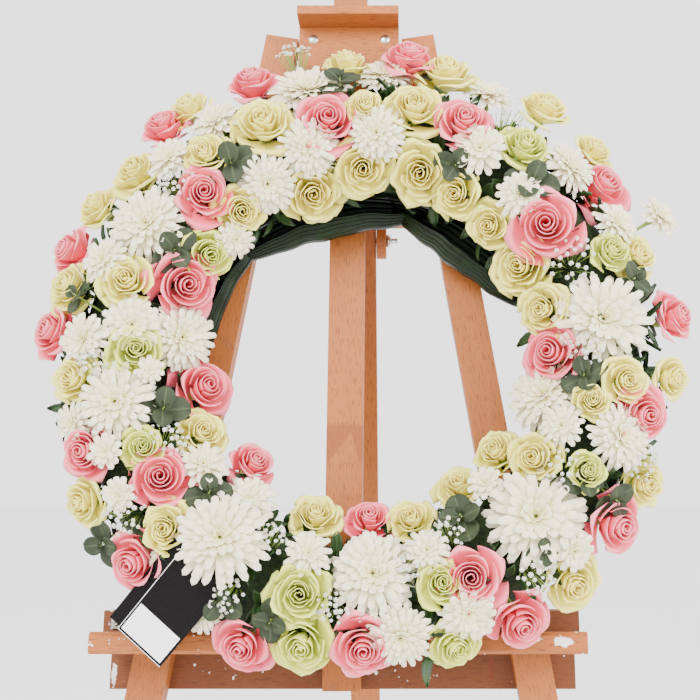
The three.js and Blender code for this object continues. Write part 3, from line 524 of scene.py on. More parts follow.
class Heap:
    """Closed thin shells and other closed forms, gathered into one mesh with a tone per point."""

    def __init__(self) -> None:
        """Starts an empty heap."""
        self._points: list[np.ndarray] = []
        self._quads: list[np.ndarray] = []
        self._tones: list[np.ndarray] = []
        self._count = 0

    def add(self, points: np.ndarray, quads: np.ndarray, tones: np.ndarray) -> None:
        """Adds closed forms that share one layout.

        Args:
            points: (forms, points, 3), in millimetres.
            quads: (faces, 4), the corners of each face in one form.
            tones: (forms, points, 3).
        """
        forms, size = points.shape[:2]
        starts = self._count + size * np.arange(forms)
        self._quads.append((quads[None] + starts[:, None, None]).reshape(-1, 4))
        self._points.append(points.reshape(-1, 3))
        self._tones.append(tones.reshape(-1, 3))
        self._count += forms * size

    def add_sheets(self, sheets: np.ndarray, thick: float, tones: np.ndarray) -> None:
        """Adds thin shells about middle surfaces: front = sheet + n t / 2, back = sheet - n t / 2,
        with n the unit normal, and a band of quads round the rim.

        Args:
            sheets: (sheets, rows, columns, 3), in millimetres.
            thick: the shells' thickness t, in millimetres.
            tones: (sheets, rows, columns, 3).
        """
        count, rows, columns, _ = sheets.shape
        normal = unit(np.cross(np.gradient(sheets, axis=2), np.gradient(sheets, axis=1)))
        both = np.concatenate([sheets + normal * thick / 2, sheets - normal * thick / 2], axis=1)
        both, doubled = both.reshape(count, -1, 3), np.concatenate([tones, tones], axis=1)
        ids = np.arange(rows * columns).reshape(rows, columns)
        front = np.stack([ids[:-1, :-1], ids[:-1, 1:], ids[1:, 1:], ids[1:, :-1]], axis=-1)
        front = front.reshape(-1, 4)
        back = front[:, ::-1] + rows * columns
        loop = np.concatenate([ids[0, :], ids[1:, -1], ids[-1, -2::-1], ids[-2:0:-1, 0]])
        after = np.roll(loop, -1)
        rim = np.stack([after, loop, loop + rows * columns, after + rows * columns], axis=-1)
        self.add(both, np.concatenate([front, back, rim]), doubled.reshape(count, -1, 3))

    def add_tube(self, path: np.ndarray, radii: np.ndarray, sides: int, tone: Colour) -> None:
        """Adds a closed tube along a path, its ends drawn to a small flat.

        Args:
            path: (points, 3), in millimetres.
            radii: the radius at each point.
            sides: how many sides the tube has.
            tone: the tone of all its points.
        """
        along = unit(np.gradient(path, axis=0))
        across = unit(np.cross(along, (0.31, 0.87, 0.39)))
        up = np.cross(along, across)
        angle = (2 * math.pi * np.arange(sides) / sides)[None, :, None]
        ring = np.cos(angle) * across[:, None] + np.sin(angle) * up[:, None]
        points = path[:, None] + ring * radii[:, None, None]
        first, last = (path[i, None] + ring[i] * 0.01 for i in (0, -1))
        points = np.concatenate([first[None], points, last[None]])
        tones = np.broadcast_to(np.array(tone), (1, len(points) * sides, 3))
        self.add(points.reshape(1, -1, 3), lathe_quads(len(points), sides), tones)

    def build(self, name: str, material: bpy.types.Material, smooth: bool = True) -> bpy.types.Object:
        """Makes the object.

        Args:
            name: the piece's name.
            material: its material.
            smooth: whether its faces are shaded smooth.

        Returns:
            The object, at the origin, in metres.
        """
        points = np.concatenate(self._points) * MM
        quads = np.concatenate(self._quads)
        tones = np.concatenate(self._tones)
        mesh = bpy.data.meshes.new(name)
        mesh.from_pydata(points.tolist(), [], quads.tolist())
        layer = mesh.attributes.new("tone", "FLOAT_COLOR", "POINT")
        layer.data.foreach_set("color", np.hstack([tones, np.ones((len(tones), 1))]).ravel())
        mesh.polygons.foreach_set("use_smooth", np.full(len(quads), smooth))
        mesh.materials.append(material)
        mesh.update()
        piece = bpy.data.objects.new(name, mesh)
        bpy.context.scene.collection.objects.link(piece)
        return piece


@dataclass(frozen=True)
class Stand:
    """Where the easel's front frame and the wreath on it stand, and where the eye is.

    Front frame: u to the right, v up the mast and w out of its face, in millimetres. A point's
    place is x = u, y = sin(lean) v - cos(lean) w + shift, z = cos(lean) v + sin(lean) w.
    """

    lean: float = math.radians(12.5)
    shift: float = -334.5811
    wreath_at: tuple[float, float, float] = (17.0, 1088.0, 7.4424)
    wreath_lean: float = math.atan(11 / 482)
    eye: tuple[float, float, float] = (60.0, -1099.1811, 1083.0)
    eye_middle: tuple[float, float] = (407.0, 350.0)
    eye_focus: float = 1024.6
    picture: int = 700

    def front(self, points: np.ndarray) -> np.ndarray:
        """Places points that are given in the front frame.

        Args:
            points: (..., 3), u, v and w in millimetres.

        Returns:
            (..., 3), x, y and z in millimetres.
        """
        u, v, w = np.moveaxis(np.asarray(points, float), -1, 0)
        s, c = math.sin(self.lean), math.cos(self.lean)
        return np.stack([u, s * v - c * w + self.shift, c * v + s * w], axis=-1)

    @property
    def axes(self) -> np.ndarray:
        """The wreath's own axes, tipped back a little from the front frame's.

        Returns:
            The x, y and z axes as the columns of a matrix.
        """
        up = np.array([0, math.sin(self.lean), math.cos(self.lean)])
        out = np.array([0, -math.cos(self.lean), math.sin(self.lean)])
        c, s = math.cos(self.wreath_lean), math.sin(self.wreath_lean)
        return np.stack([np.array([1.0, 0, 0]), c * up - s * out, s * up + c * out], axis=1)

    def wreath(self, points: np.ndarray) -> np.ndarray:
        """Returns the places of points given in the wreath's own frame."""
        return points @ self.axes.T + self.front(np.array(self.wreath_at))

    def to_wreath(self, points: np.ndarray) -> np.ndarray:
        """Returns points in the wreath's own frame, from their places."""
        return (points - self.front(np.array(self.wreath_at))) @ self.axes

    def read(self, x: float, y: float, level: float) -> tuple[np.ndarray, float]:
        """Finds what a reading points to.

        Args:
            x: picture elements across.
            y: picture elements down.
            level: millimetres before the wreath's back.

        Returns:
            The point in the wreath's frame, and its distance from the eye along Y.
        """
        eye = self.to_wreath(np.array(self.eye))
        sight = np.array([(x - self.eye_middle[0]) / self.eye_focus, 1.0,
                          (self.eye_middle[1] - y) / self.eye_focus]) @ self.axes
        distance = (level - eye[2]) / sight[2]
        return eye + sight * distance, distance


@dataclass
class Seat:
    """Where a bloom stands: its foot's line from the section's heart, and axes round it."""

    heart: np.ndarray
    normal: np.ndarray
    along: np.ndarray
    side: np.ndarray
    width: float

    def points(self, radius: np.ndarray, turn: np.ndarray, height: np.ndarray) -> np.ndarray:
        """Places points round the seat.

        Args:
            radius: their distance from the seat's line.
            turn: their angle about it.
            height: their height over the section's heart.

        Returns:
            (..., 3), in the wreath's frame.
        """
        return (self.heart + self.normal * height[..., None]
                + self.along * (radius * np.cos(turn))[..., None]
                + self.side * (radius * np.sin(turn))[..., None])

    def facing(self, height: float, amount: float) -> "Seat":
        """Returns this seat turned about its bloom's middle towards the wreath's front.

        Args:
            height: the height of the bloom's middle over the heart.
            amount: 0 leaves it square to the bed and 1 turns it straight to the front.

        Returns:
            The turned seat.
        """
        middle = self.heart + self.normal * height
        steep = max(0.0, 1.0 - float(self.normal[2]))
        share = amount * min(1.0, 2.2 * steep)
        normal = unit(self.normal * (1 - share) + np.array([0.0, 0.0, 1.0]) * share)
        side = unit(np.cross(normal, self.along))
        return replace(self, heart=middle - normal * height, normal=normal,
                       along=np.cross(side, normal), side=side)

    def tilted(self, toward: float, lean: float) -> "Seat":
        """Leans this seat about its own heart.

        Args:
            toward: the turn it leans towards.
            lean: the angle it leans by.

        Returns:
            The leaning seat.
        """
        ahead = self.along * math.cos(toward) + self.side * math.sin(toward)
        beside = np.cross(self.normal, ahead)
        normal = self.normal * math.cos(lean) + ahead * math.sin(lean)
        forward = ahead * math.cos(lean) - self.normal * math.sin(lean)
        along = forward * math.cos(toward) - beside * math.sin(toward)
        return replace(self, normal=normal, along=along, side=np.cross(normal, along))


@dataclass
class Ring:
    """The wreath's section and the seats on it. Sizes in millimetres, angles in radians."""

    stand: Stand
    radius: float = 217.0
    lift: float = 22.0
    face: float = 86.0
    seen_at: float = 78.0
    bed: float = 49.0
    low_from: float = -190.0
    low_tilt: float = math.radians(42)
    low_level: float = 66.0

    def at(self, theta: np.ndarray, phi: np.ndarray, rho: np.ndarray) -> np.ndarray:
        """Places points on the ring: reach = radius + rho sin(phi), level = lift + rho cos(phi).

        Args:
            theta: their angle round the wreath.
            phi: their angle round its section.
            rho: their distance from the section's heart.

        Returns:
            (..., 3), in the wreath's frame.
        """
        reach = self.radius + rho * np.sin(phi)
        return stacked(reach * np.cos(theta), reach * np.sin(theta), self.lift + rho * np.cos(phi))

    def seat(self, reading: Reading) -> Seat:
        """Finds a bloom's seat by moving its level until it lies on the blooms' round section.

        Args:
            reading: across, down and width, in picture elements.

        Returns:
            The seat.
        """
        x, y, across = reading
        level = self.lift + self.seen_at
        for _ in range(40):
            point, distance = self.stand.read(x, y, level)
            off = (math.hypot(point[0], point[1]) - self.radius) / self.seen_at
            phi = math.asin(max(-0.95, min(0.95, off)))
            level = (level + self.lift + self.seen_at * math.cos(phi)) / 2
        if point[1] < self.low_from and phi > self.low_tilt:
            point, distance = self.stand.read(x, y, max(level, self.low_level))
            phi = self.low_tilt
        theta = math.atan2(point[1], point[0])
        normal = self.at(theta, phi, 1.0) - self.at(theta, phi, 0.0)
        along = np.array([-math.sin(theta), math.cos(theta), 0.0])
        side = np.cross(normal, along)
        width = across * distance / self.stand.eye_focus
        return Seat(point - normal * self.seen_at, normal, along, side, width)


def unit_grid(rows: int, columns: int) -> tuple[np.ndarray, np.ndarray]:
    """Returns t from 0 to 1 along the rows and u from -1 to 1 across the columns, to broadcast."""
    return np.linspace(0.0, 1.0, rows)[None, :, None], np.linspace(-1.0, 1.0, columns)[None, None, :]


@dataclass(frozen=True)
class RoseHabit:
    """How a rose's petals lie: the openness of each, from the heart out, and their edges.

    With o the openness from 0 to 1, t along a petal and u across it, the middle line is radius =
    2 t (1 - t) (0.10 + 0.98 o) + t t (0.06 + 0.94 o), height = 2 t (1 - t) (0.90 - 0.50 o) +
    t t (1 - drop o o o). The sides fall back as t (1 - pointed o |u| ** 1.35). The grid is a
    petal's points along and across, swell the bloom's radius over half the width read for it, and
    raised how far its rim stands over the others'.
    """

    heart: int
    middle: int
    outer: int
    pointed: float
    drop: float
    ruffle: float
    lobes: float
    roll: float
    grid: tuple[int, int]
    swell: float
    raised: float

    def openness(self) -> np.ndarray:
        """Returns how open each petal is, from the heart to the outermost."""
        return np.concatenate([
            np.linspace(0.02, 0.36, self.heart), np.linspace(0.44, 0.68, self.middle),
            np.linspace(0.78, 1.0, self.outer)])

    def petals(self, rng: np.random.Generator) -> tuple[np.ndarray, ...]:
        """Works out all petals.

        Args:
            rng: the seeded generator.

        Returns:
            Radius, turn and height in units of the bloom's radius and height, and the tones.
        """
        o = self.openness()[:, None, None]
        count = len(o)
        t, u = unit_grid(*self.grid)
        draw, other = rng.random((2, count, 1, 1))
        t = t * (1 - self.pointed * (0.25 + 0.75 * o) * np.abs(u) ** 1.35)
        foot = 0.03 + 0.10 * o
        radius = (1 - t) ** 2 * foot + 2 * t * (1 - t) * (0.10 + 0.98 * o) + t * t * (0.06 + 0.94 * o)
        height = 2 * t * (1 - t) * (0.90 - 0.50 * o) + t * t * (1 - self.drop * o ** 3)
        rolled = np.clip((t - 0.72) / 0.28, 0, 1) ** 2 * np.clip(1.6 * o - 0.3, 0, 1)
        radius = radius + 0.10 * self.roll * rolled
        height = height - 0.20 * self.roll * rolled * (0.55 + 0.9 * draw)
        height = height - 0.20 * self.roll * o * o * t * np.abs(u) ** 3
        wave = np.sin(self.lobes * u + 6.28 * draw) + 0.6 * np.sin(1.9 * self.lobes * u + 6.28 * other)
        radius = radius + self.ruffle * (0.35 + 0.65 * o) * wave * t ** 3
        height = height + self.ruffle * 0.8 * np.sin(1.4 * self.lobes * u + 6.28 * other) * t ** 3
        radius = radius + 0.09 * self.roll * np.clip(2 * o - 1, 0, 1) * t ** 4 * (1 - np.abs(u)) ** 2
        radius = radius * (1 + (0.15 - 0.07 * o) * u) * (0.90 + 0.15 * draw)
        height = height + 0.14 * (other - 0.5) * (0.4 + 0.6 * o) * t
        spread = (1.62 - 0.80 * o ** 0.6) * (0.85 + 0.3 * other)
        spread = spread * (0.45 + 0.55 * np.sin(0.5 * math.pi * np.clip(t * 1.3, 0, 1)))
        turn = np.arange(count)[:, None, None] * GOLDEN_TURN + u * spread + 0.35 * (draw - 0.5)
        radius, turn, height = np.broadcast_arrays(radius, turn, height)
        return radius, turn, height, stacked(np.clip(t, 0, 1), draw, 1 - o + 0 * radius)


HABITS = {
    Rose.PINK: RoseHabit(heart=9, middle=5, outer=5, pointed=0.33, drop=0.50, ruffle=0.026, lobes=2.3,
                         roll=1.2, grid=(9, 11), swell=1.16, raised=3.0),
    Rose.CREAM: RoseHabit(heart=9, middle=5, outer=6, pointed=0.14, drop=0.48, ruffle=0.062, lobes=4.0,
                          roll=0.9, grid=(7, 9), swell=1.20, raised=0.0),
}
# Rings of a chrysanthemum's petals by the bloom's least width: count, length, rise and half-width.
STRAPS = {
    48: [(22, 1.0, -5, 0.098), (21, 0.93, 9, 0.096), (19, 0.81, 23, 0.092), (16, 0.65, 39, 0.086),
         (12, 0.48, 55, 0.078), (9, 0.31, 70, 0.062), (7, 0.17, 83, 0.042)],
    33: [(15, 1.0, -2, 0.135), (14, 0.86, 18, 0.13), (12, 0.64, 38, 0.115), (9, 0.38, 58, 0.085),
         (8, 0.20, 78, 0.05)],
    0: [(11, 1.0, 8, 0.20), (9, 0.8, 30, 0.18), (7, 0.5, 55, 0.14), (6, 0.28, 78, 0.09)],
}
FLORET = [(5, 1.0, 0, 0.33), (3, 0.9, 48, 0.36), (2, 0.75, 80, 0.28)]


def strap_form(rng: np.random.Generator, rings: Sequence[tuple[int, float, float, float]],
               ) -> tuple[np.ndarray, ...]:
    """Narrow petals of a chrysanthemum, in rings from the outermost to the heart.

    A petal of length L and rise e runs along x = 0.04 + L cos(e) t, z = L sin(e) t - 0.10 t t,
    and its half-width is w sin(pi (0.09 + 0.72 t)) to the power 0.5, its sides raised to a trough.

    Args:
        rng: the seeded generator.
        rings: for each ring the count of petals, their length, rise in degrees and half-width.

    Returns:
        Radius, turn and height in units of the bloom's radius, and the tones.
    """
    t, u = unit_grid(6, 3)
    found = []
    for index, (count, length, rise, half) in enumerate(rings):
        draw = rng.random((count, 1, 1))
        lean = np.radians(rise + 16 * (rng.random((count, 1, 1)) - 0.5))
        size = length * (0.9 + 0.16 * draw)
        bent = (1 - 0.06 * u * u) * t
        x = 0.04 + size * np.cos(lean) * bent
        z = size * np.sin(lean) * bent - 0.10 * bent * bent + 0.16 * half * 4 * u * u * (1 - 0.5 * t)
        y = u * half * np.sin(math.pi * (0.09 + 0.72 * t)) ** 0.5
        turn = 2 * math.pi * (np.arange(count)[:, None, None] + 0.4 * draw) / count + 1.3 * index
        turn = turn + np.arctan2(y, x)
        depth = index / max(1, len(rings) - 1)
        radius, turn, z = np.broadcast_arrays(np.hypot(x, y), turn, z)
        found.append((radius, turn, z, stacked(t, draw, depth + 0 * radius)))
    return tuple(np.concatenate([part[i] for part in found]) for i in range(4))


def leaf_form(count: int, rng: np.random.Generator, rows: int, columns: int, roundness: float,
              ) -> tuple[np.ndarray, ...]:
    """Leaves of unit length: x along, y across and z up, with half-width
    sin(pi (0.03 + 0.94 t)) to the power of roundness, folded a little along the midrib.

    Args:
        count: how many leaves.
        rng: the seeded generator.
        rows: points along a leaf.
        columns: points across it.
        roundness: 0.5 for a disc and 1 or more for a pointed leaf.

    Returns:
        x, y (for a half-width of 1) and z, and the tones.
    """
    t, u = unit_grid(rows, columns)
    draw = rng.random((count, 1, 1))
    y = u * np.sin(math.pi * (0.03 + 0.94 * t)) ** roundness
    z = 0.10 * np.abs(u) + 0.10 * np.sin(math.pi * t) * (draw - 0.2) - 0.16 * t * t * draw
    x, y, z = np.broadcast_arrays(t, y, z)
    return x, y, z, stacked(t, draw, (u + 1) / 2 + 0 * x)


@dataclass(frozen=True)
class LeafHabit:
    """A kind of leaf: its points along and across, its roundness, the distance of its foot from
    the seat's line, how far it follows the form's fold, and its thickness."""

    grid: tuple[int, int]
    roundness: float
    foot: float = 0.0
    fold: float = 1.0
    thick: float = 0.4


ROUND_LEAF = LeafHabit((9, 9), 0.52, foot=1.2, fold=0.7, thick=0.5)
POINTED_LEAF = LeafHabit((5, 5), 0.9)
# Names and colours: heart, face, rim and foot of petals; dark and light of leaves. Then come the
# petals' roughness and heart_reach, and the leaves' roughness and coat.
# On the roses the deeper heart and foot colours are partly the petals' own colour and partly painted
# shade in the bloom's cup; the chrysanthemums' yellow heart is their own colour.
PETAL_FINISHES = [
    ("pink_rose_petals", (0.74, 0.01, 0.034), (0.95, 0.10, 0.165), (0.98, 0.40, 0.46),
     (0.64, 0.05, 0.06)),
    ("cream_rose_petals", (0.86, 0.64, 0.045), (0.91, 0.82, 0.125), (0.95, 0.92, 0.30),
     (0.58, 0.62, 0.09)),
    ("greenish_rose_petals", (0.58, 0.60, 0.03), (0.70, 0.74, 0.085), (0.82, 0.86, 0.22),
     (0.32, 0.44, 0.04)),
    ("chrysanthemum_petals", (0.78, 0.70, 0.20), (0.93, 0.84, 0.58), (0.96, 0.92, 0.75),
     (0.74, 0.70, 0.26), 0.6, 1.15),
    ("gypsophila_petals", (0.74, 0.70, 0.54), (0.82, 0.79, 0.70), (0.88, 0.87, 0.82),
     (0.60, 0.64, 0.30)),
]
LEAF_FINISHES = [
    ("eucalyptus_leaves", (0.017, 0.027, 0.010), (0.042, 0.057, 0.025), 0.5),
    ("filler_leaves", (0.010, 0.030, 0.006), (0.030, 0.070, 0.014), 0.42, 0.15),
    ("flower_stems", (0.09, 0.16, 0.025), (0.20, 0.28, 0.06), 0.5),
]
GREENERY = ("greenery_and_painted_shade_bed", "filler_greenery", "eucalyptus_tips", "flower_stems")


@dataclass
class Flowers:
    """All blooms and greenery of the wreath.

    A bloom turns out to the front by turned_out and leans by most_lean at most. The swells are a
    bloom's radius over half the width read for it, and a eucalyptus tier is the size of its leaves
    over that radius, their rise in degrees and the height they start from.
    """

    ring: Ring
    stand: Stand
    turned_out: float = 0.46
    most_lean: float = 0.16
    rose_heights: tuple[float, float] = (24.0, 36.0)
    large_from: float = 48.0
    mum_swell: float = 1.14
    head_swell: float = 1.15
    floret_count: int = 26
    tiers: tuple[tuple[float, float, float], ...] = ((1.62, 8, 70), (1.26, 22, 75), (0.5, 60, 79))
    stems: Heap = field(default_factory=Heap)
    rng: np.random.Generator = field(default_factory=lambda: np.random.default_rng(2693))

    def leaning(self, seat: Seat) -> Seat:
        """Returns a seat leaning a little, in a drawn direction."""
        return seat.tilted(self.rng.random() * 6.28, self.most_lean * self.rng.random())

    def roses(self, readings: Sequence[Reading], kind: Rose, heap: Heap) -> None:
        """Grows roses on their seats.

        Args:
            readings: the roses' readings.
            kind: pink or cream.
            heap: what they are added to.
        """
        habit = HABITS[kind]
        for reading in readings:
            rooted = self.ring.seat(reading)
            seat = rooted.facing(self.ring.seen_at, self.turned_out)
            radius = seat.width / 2 * habit.swell
            height = float(np.clip(0.66 * seat.width, *self.rose_heights))
            base = self.ring.face + habit.raised - height
            r, turn, h, tones = habit.petals(self.rng)
            turn = turn + self.rng.random() * 6.28
            leaning = self.leaning(seat)
            sheets = leaning.points(r * radius, turn, base + h * height)
            heap.add_sheets(self.stand.wreath(sheets), 0.45, tones)
            self._calyx(rooted, leaning, base, radius)

    def drawn_nearer(self, seat: Seat, distance: float) -> Seat:
        """Returns a seat moved straight towards the eye, so that its bloom covers what lies there.

        Args:
            seat: the seat.
            distance: how far it moves, in millimetres.

        Returns:
            The moved seat.
        """
        middle = seat.heart + seat.normal * self.ring.seen_at
        toward = unit(self.stand.to_wreath(np.array(self.stand.eye)) - middle)
        return replace(seat, heart=seat.heart + toward * distance)

    def _calyx(self, rooted: Seat, seat: Seat, base: float, radius: float) -> None:
        """Adds the green cup and the stem below a bloom, down into the bed.

        Args:
            rooted: the seat square to the bed.
            seat: the bloom's own seat, turned out.
            base: the height of the bloom's base over its heart.
            radius: the bloom's radius.
        """
        top = seat.heart + seat.normal * (base + 3)
        foot = rooted.heart + rooted.normal * (self.ring.bed - 8)
        path = np.linspace(foot, top, 6)
        swell = np.array([1.6, 1.6, 1.7, 2.2, 0.12 * radius + 2, 0.17 * radius + 1])
        self.stems.add_tube(self.stand.wreath(path), swell, 6, (0.5, 0.5, 0.5))

    def chrysanthemums(self, readings: Sequence[Reading], heap: Heap) -> None:
        """Grows chrysanthemums on their seats.

        Args:
            readings: the chrysanthemums' readings.
            heap: what they are added to.
        """
        for reading in readings:
            rooted = self.ring.seat(reading)
            seat = rooted.facing(self.ring.seen_at, self.turned_out)
            radius = seat.width / 2 * self.mum_swell
            table = next(rings for least, rings in STRAPS.items() if seat.width > least)
            r, turn, h, tones = strap_form(self.rng, table)
            leaning = self.leaning(self.drawn_nearer(seat, BY_THE_CARDS.get(reading[:2], 0.0)))
            base = self.ring.face - 0.46 * radius
            sheets = leaning.points(r * radius, turn + self.rng.random(), base + h * radius)
            heap.add_sheets(self.stand.wreath(sheets), 0.5, tones)
            self._calyx(rooted, leaning, base - 4, radius * 0.6)

    def gypsophila(self, heap: Heap) -> None:
        """Grows the heads of gypsophila: small double florets on thread-like stems.

        Args:
            heap: what the florets are added to.
        """
        for reading in GYPSOPHILA:
            seat = self.ring.seat(reading).facing(self.ring.seen_at, 0.5 * self.turned_out)
            radius = seat.width / 2 * self.head_swell
            for index in range(self.floret_count):
                spread = math.sqrt((index + 0.5) / self.floret_count)
                turn = index * GOLDEN_TURN + 0.5 * self.rng.random()
                tip = self.ring.face + 1 - 11 * spread * spread - 8 * self.rng.random()
                centre = seat.points(np.array(spread * radius), np.array(turn), np.array(tip))
                small = replace(seat, heart=centre).tilted(turn, 0.9 * spread * self.rng.random())
                size = 1.8 + 1.1 * self.rng.random()
                r, angle, h, tones = strap_form(self.rng, FLORET)
                sheets = small.points(r * size, angle, h * size)
                heap.add_sheets(self.stand.wreath(sheets[:, ::2]), 0.35, tones[:, ::2])
                root = seat.points(
                    np.array(0.25 * spread * radius), np.array(turn), np.array(self.ring.bed - 2))
                path = np.linspace(root, centre, 4)
                path[1:3] += seat.normal * 1.5
                self.stems.add_tube(self.stand.wreath(path), np.full(4, 0.35), 4, (0.5, 0.3, 0.5))

    def leaves(self, seat: Seat, habit: LeafHabit, size: tuple[float, float], rise: float,
               turns: Sequence[float], level: float, heap: Heap) -> None:
        """Adds leaves that stand out from a seat: with e the rise, out = foot + x L cos e - z L sin e
        and height = level + x L sin e + fold z L cos e.

        Args:
            seat: where they stand.
            habit: their kind.
            size: their length L and half their width.
            rise: how steeply they stand, in degrees.
            turns: the way each points round the seat.
            level: the height they start from.
            heap: what they are added to.
        """
        x, y, z, tones = leaf_form(len(turns), self.rng, *habit.grid, habit.roundness)
        cosine, sine = math.cos(math.radians(rise)), math.sin(math.radians(rise))
        out = habit.foot + x * size[0] * cosine - z * size[0] * sine
        up = level + x * size[0] * sine + habit.fold * z * size[0] * cosine
        face = np.array(turns)[:, None, None] + np.arctan2(y * size[1], out)
        sheets = seat.points(np.hypot(out, y * size[1]), face, up)
        heap.add_sheets(self.stand.wreath(sheets), habit.thick, tones)

    def eucalyptus(self, heap: Heap) -> None:
        """Grows the tips of eucalyptus: broad round leaves in crossed pairs.

        Args:
            heap: what the leaves are added to.
        """
        for reading in EUCALYPTUS:
            rooted = self.ring.seat(reading)
            turn = self.rng.random() * math.pi
            seat = rooted.facing(self.ring.seen_at, 0.9 * self.turned_out).tilted(
                self.rng.random() * 6.28, 0.3 * self.rng.random())
            for tier, (size, rise, tip) in enumerate(self.tiers):
                length = size * rooted.width / 2
                face = turn + 1.35 * tier
                self.leaves(seat, ROUND_LEAF, (length, 0.5 * length), rise, (face, face + math.pi), tip,
                            heap)
            path = np.linspace(rooted.heart + rooted.normal * (self.ring.bed - 6),
                               seat.heart + seat.normal * 80, 4)
            radii = np.array([1.2, 1.1, 0.9, 0.5])
            self.stems.add_tube(self.stand.wreath(path), radii, 6, (0.5, 0.2, 0.5))

    def leaf_on_bed(self, theta: float, phi: float, turn: float, size: tuple[float, float], rise: float,
                    heap: Heap) -> None:
        """Adds one dark pointed leaf that stands out of the bed.

        Args:
            theta: its angle round the wreath.
            phi: its angle round the section.
            turn: the way it points on the bed, a quarter turn being towards the front.
            size: its length and half its width.
            rise: how steeply it stands, in degrees.
            heap: what it is added to.
        """
        heart = self.ring.at(theta, phi, 0.0)
        normal = self.ring.at(theta, phi, 1.0) - heart
        along = np.array([-math.sin(theta), math.cos(theta), 0.0])
        seat = Seat(heart, normal, along, np.cross(normal, along), 2 * size[1])
        self.leaves(seat, POINTED_LEAF, size, rise, [turn], self.ring.bed - 2, heap)

    def filler_leaves(self, heap: Heap, count: int = 600, fringe: int = 190) -> None:
        """Adds dark pointed leaves between the blooms, and a fringe that lies forward on the sides.

        Args:
            heap: what the leaves are added to.
            count: how many stand between the blooms.
            fringe: how many places the fringe has, those over the tray being left free.
        """
        for a, b, turn, long, wide, steep in self.rng.random((count, 6)):
            theta, phi = 2 * math.pi * a, math.radians(-76 + 154 * b)
            if math.sin(theta) < -0.55 and phi > math.radians(35):
                phi = math.radians(20)
            self.leaf_on_bed(theta, phi, 6.28 * turn, (22 + 12 * long, 4.2 + 2.2 * wide),
                             28 + 40 * steep, heap)
        for index, (turn, long, wide, steep, b, _) in enumerate(self.rng.random((fringe, 6))):
            theta, phi = 2 * math.pi * index / fringe, math.radians(66 + 13 * b)
            if math.sin(theta) > -0.55:
                self.leaf_on_bed(theta, phi, math.pi / 2 + 1.1 * (turn - 0.5),
                                 (30 + 12 * long, 6.0 + 3 * wide), 3 + 14 * steep, heap)
        self.hanging_leaf(heap)

    def hanging_leaf(self, heap: Heap) -> None:
        """Adds the small curled leaf that hangs below the lowest blooms: its tip bends outward as
        the square of the distance along it.

        Args:
            heap: what it is added to.
        """
        root = self.stand.read(438, 645, 68)[0]
        tip = self.stand.read(428, 687, 74)[0]
        x, y, z, tones = leaf_form(1, self.rng, 9, 5, 0.8)
        down, out = tip - root, np.array([0.0, 0.0, 1.0])
        across = unit(np.cross(down, out))
        sheets = (root + x[..., None] * down + (y * 4.6 + 5 * np.sin(3.0 * x))[..., None] * across
                  + (z * 20 + 6 * x * x)[..., None] * out)
        heap.add_sheets(self.stand.wreath(sheets), 0.5, tones)

    def bed(self, heap: Heap) -> None:
        """Adds the bed of short greenery, which also stands for the shade between the blooms, pulled in
        where the tray needs room.

        Args:
            heap: what it is added to.
        """
        rows, columns = 240, 33
        theta = np.linspace(0, 2 * math.pi, rows + 1)[:-1]
        phi = np.radians(np.linspace(-76, 76, columns))
        ripple = (np.sin(37 * theta)[:, None] * np.sin(9 * phi)[None] + np.sin(61 * theta + 1)[:, None]
                  * np.sin(15 * phi + 2)[None]) * 1.2
        rho = self.ring.bed - 2.5 + ripple
        for _ in range(40):
            points = self.ring.at(theta[:, None], phi[None], rho)
            v = points[..., 1] + self.stand.wreath_at[1]
            w = points[..., 2] + 7.4 - points[..., 1] * 0.0228
            lip, board = (v < 847) & (w < 57), (v < 864) & (w < 19)
            rho = np.where(lip | board, np.maximum(28.6, rho - 1), rho)
        top = self.ring.at(theta[:, None], phi[None], rho)
        under = self.ring.at(theta[:, None], phi[None], np.full((1, columns), 28.3))
        section = np.concatenate([top, under[:, ::-1]], axis=1)
        ids = np.arange(rows * 2 * columns).reshape(rows, 2 * columns)
        ahead, beside = np.roll(ids, -1, axis=0), np.roll(ids, -1, axis=1)
        corner = np.roll(ahead, -1, axis=1)
        quads = np.stack([ids, beside, corner, ahead], axis=-1).reshape(-1, 4)
        points = self.stand.wreath(section).reshape(1, -1, 3)
        heap.add(points, quads, np.full(points.shape, 0.5))

    def build(self) -> dict[str, bpy.types.Object]:
        """Builds all blooms and greenery.

        Returns:
            The pieces by name.
        """
        pink, cream, lime, white, floret = (PetalFinish(*given).material() for given in PETAL_FINISHES)
        gum, filler, stem = (LeafFinish(*given).material() for given in LEAF_FINISHES)
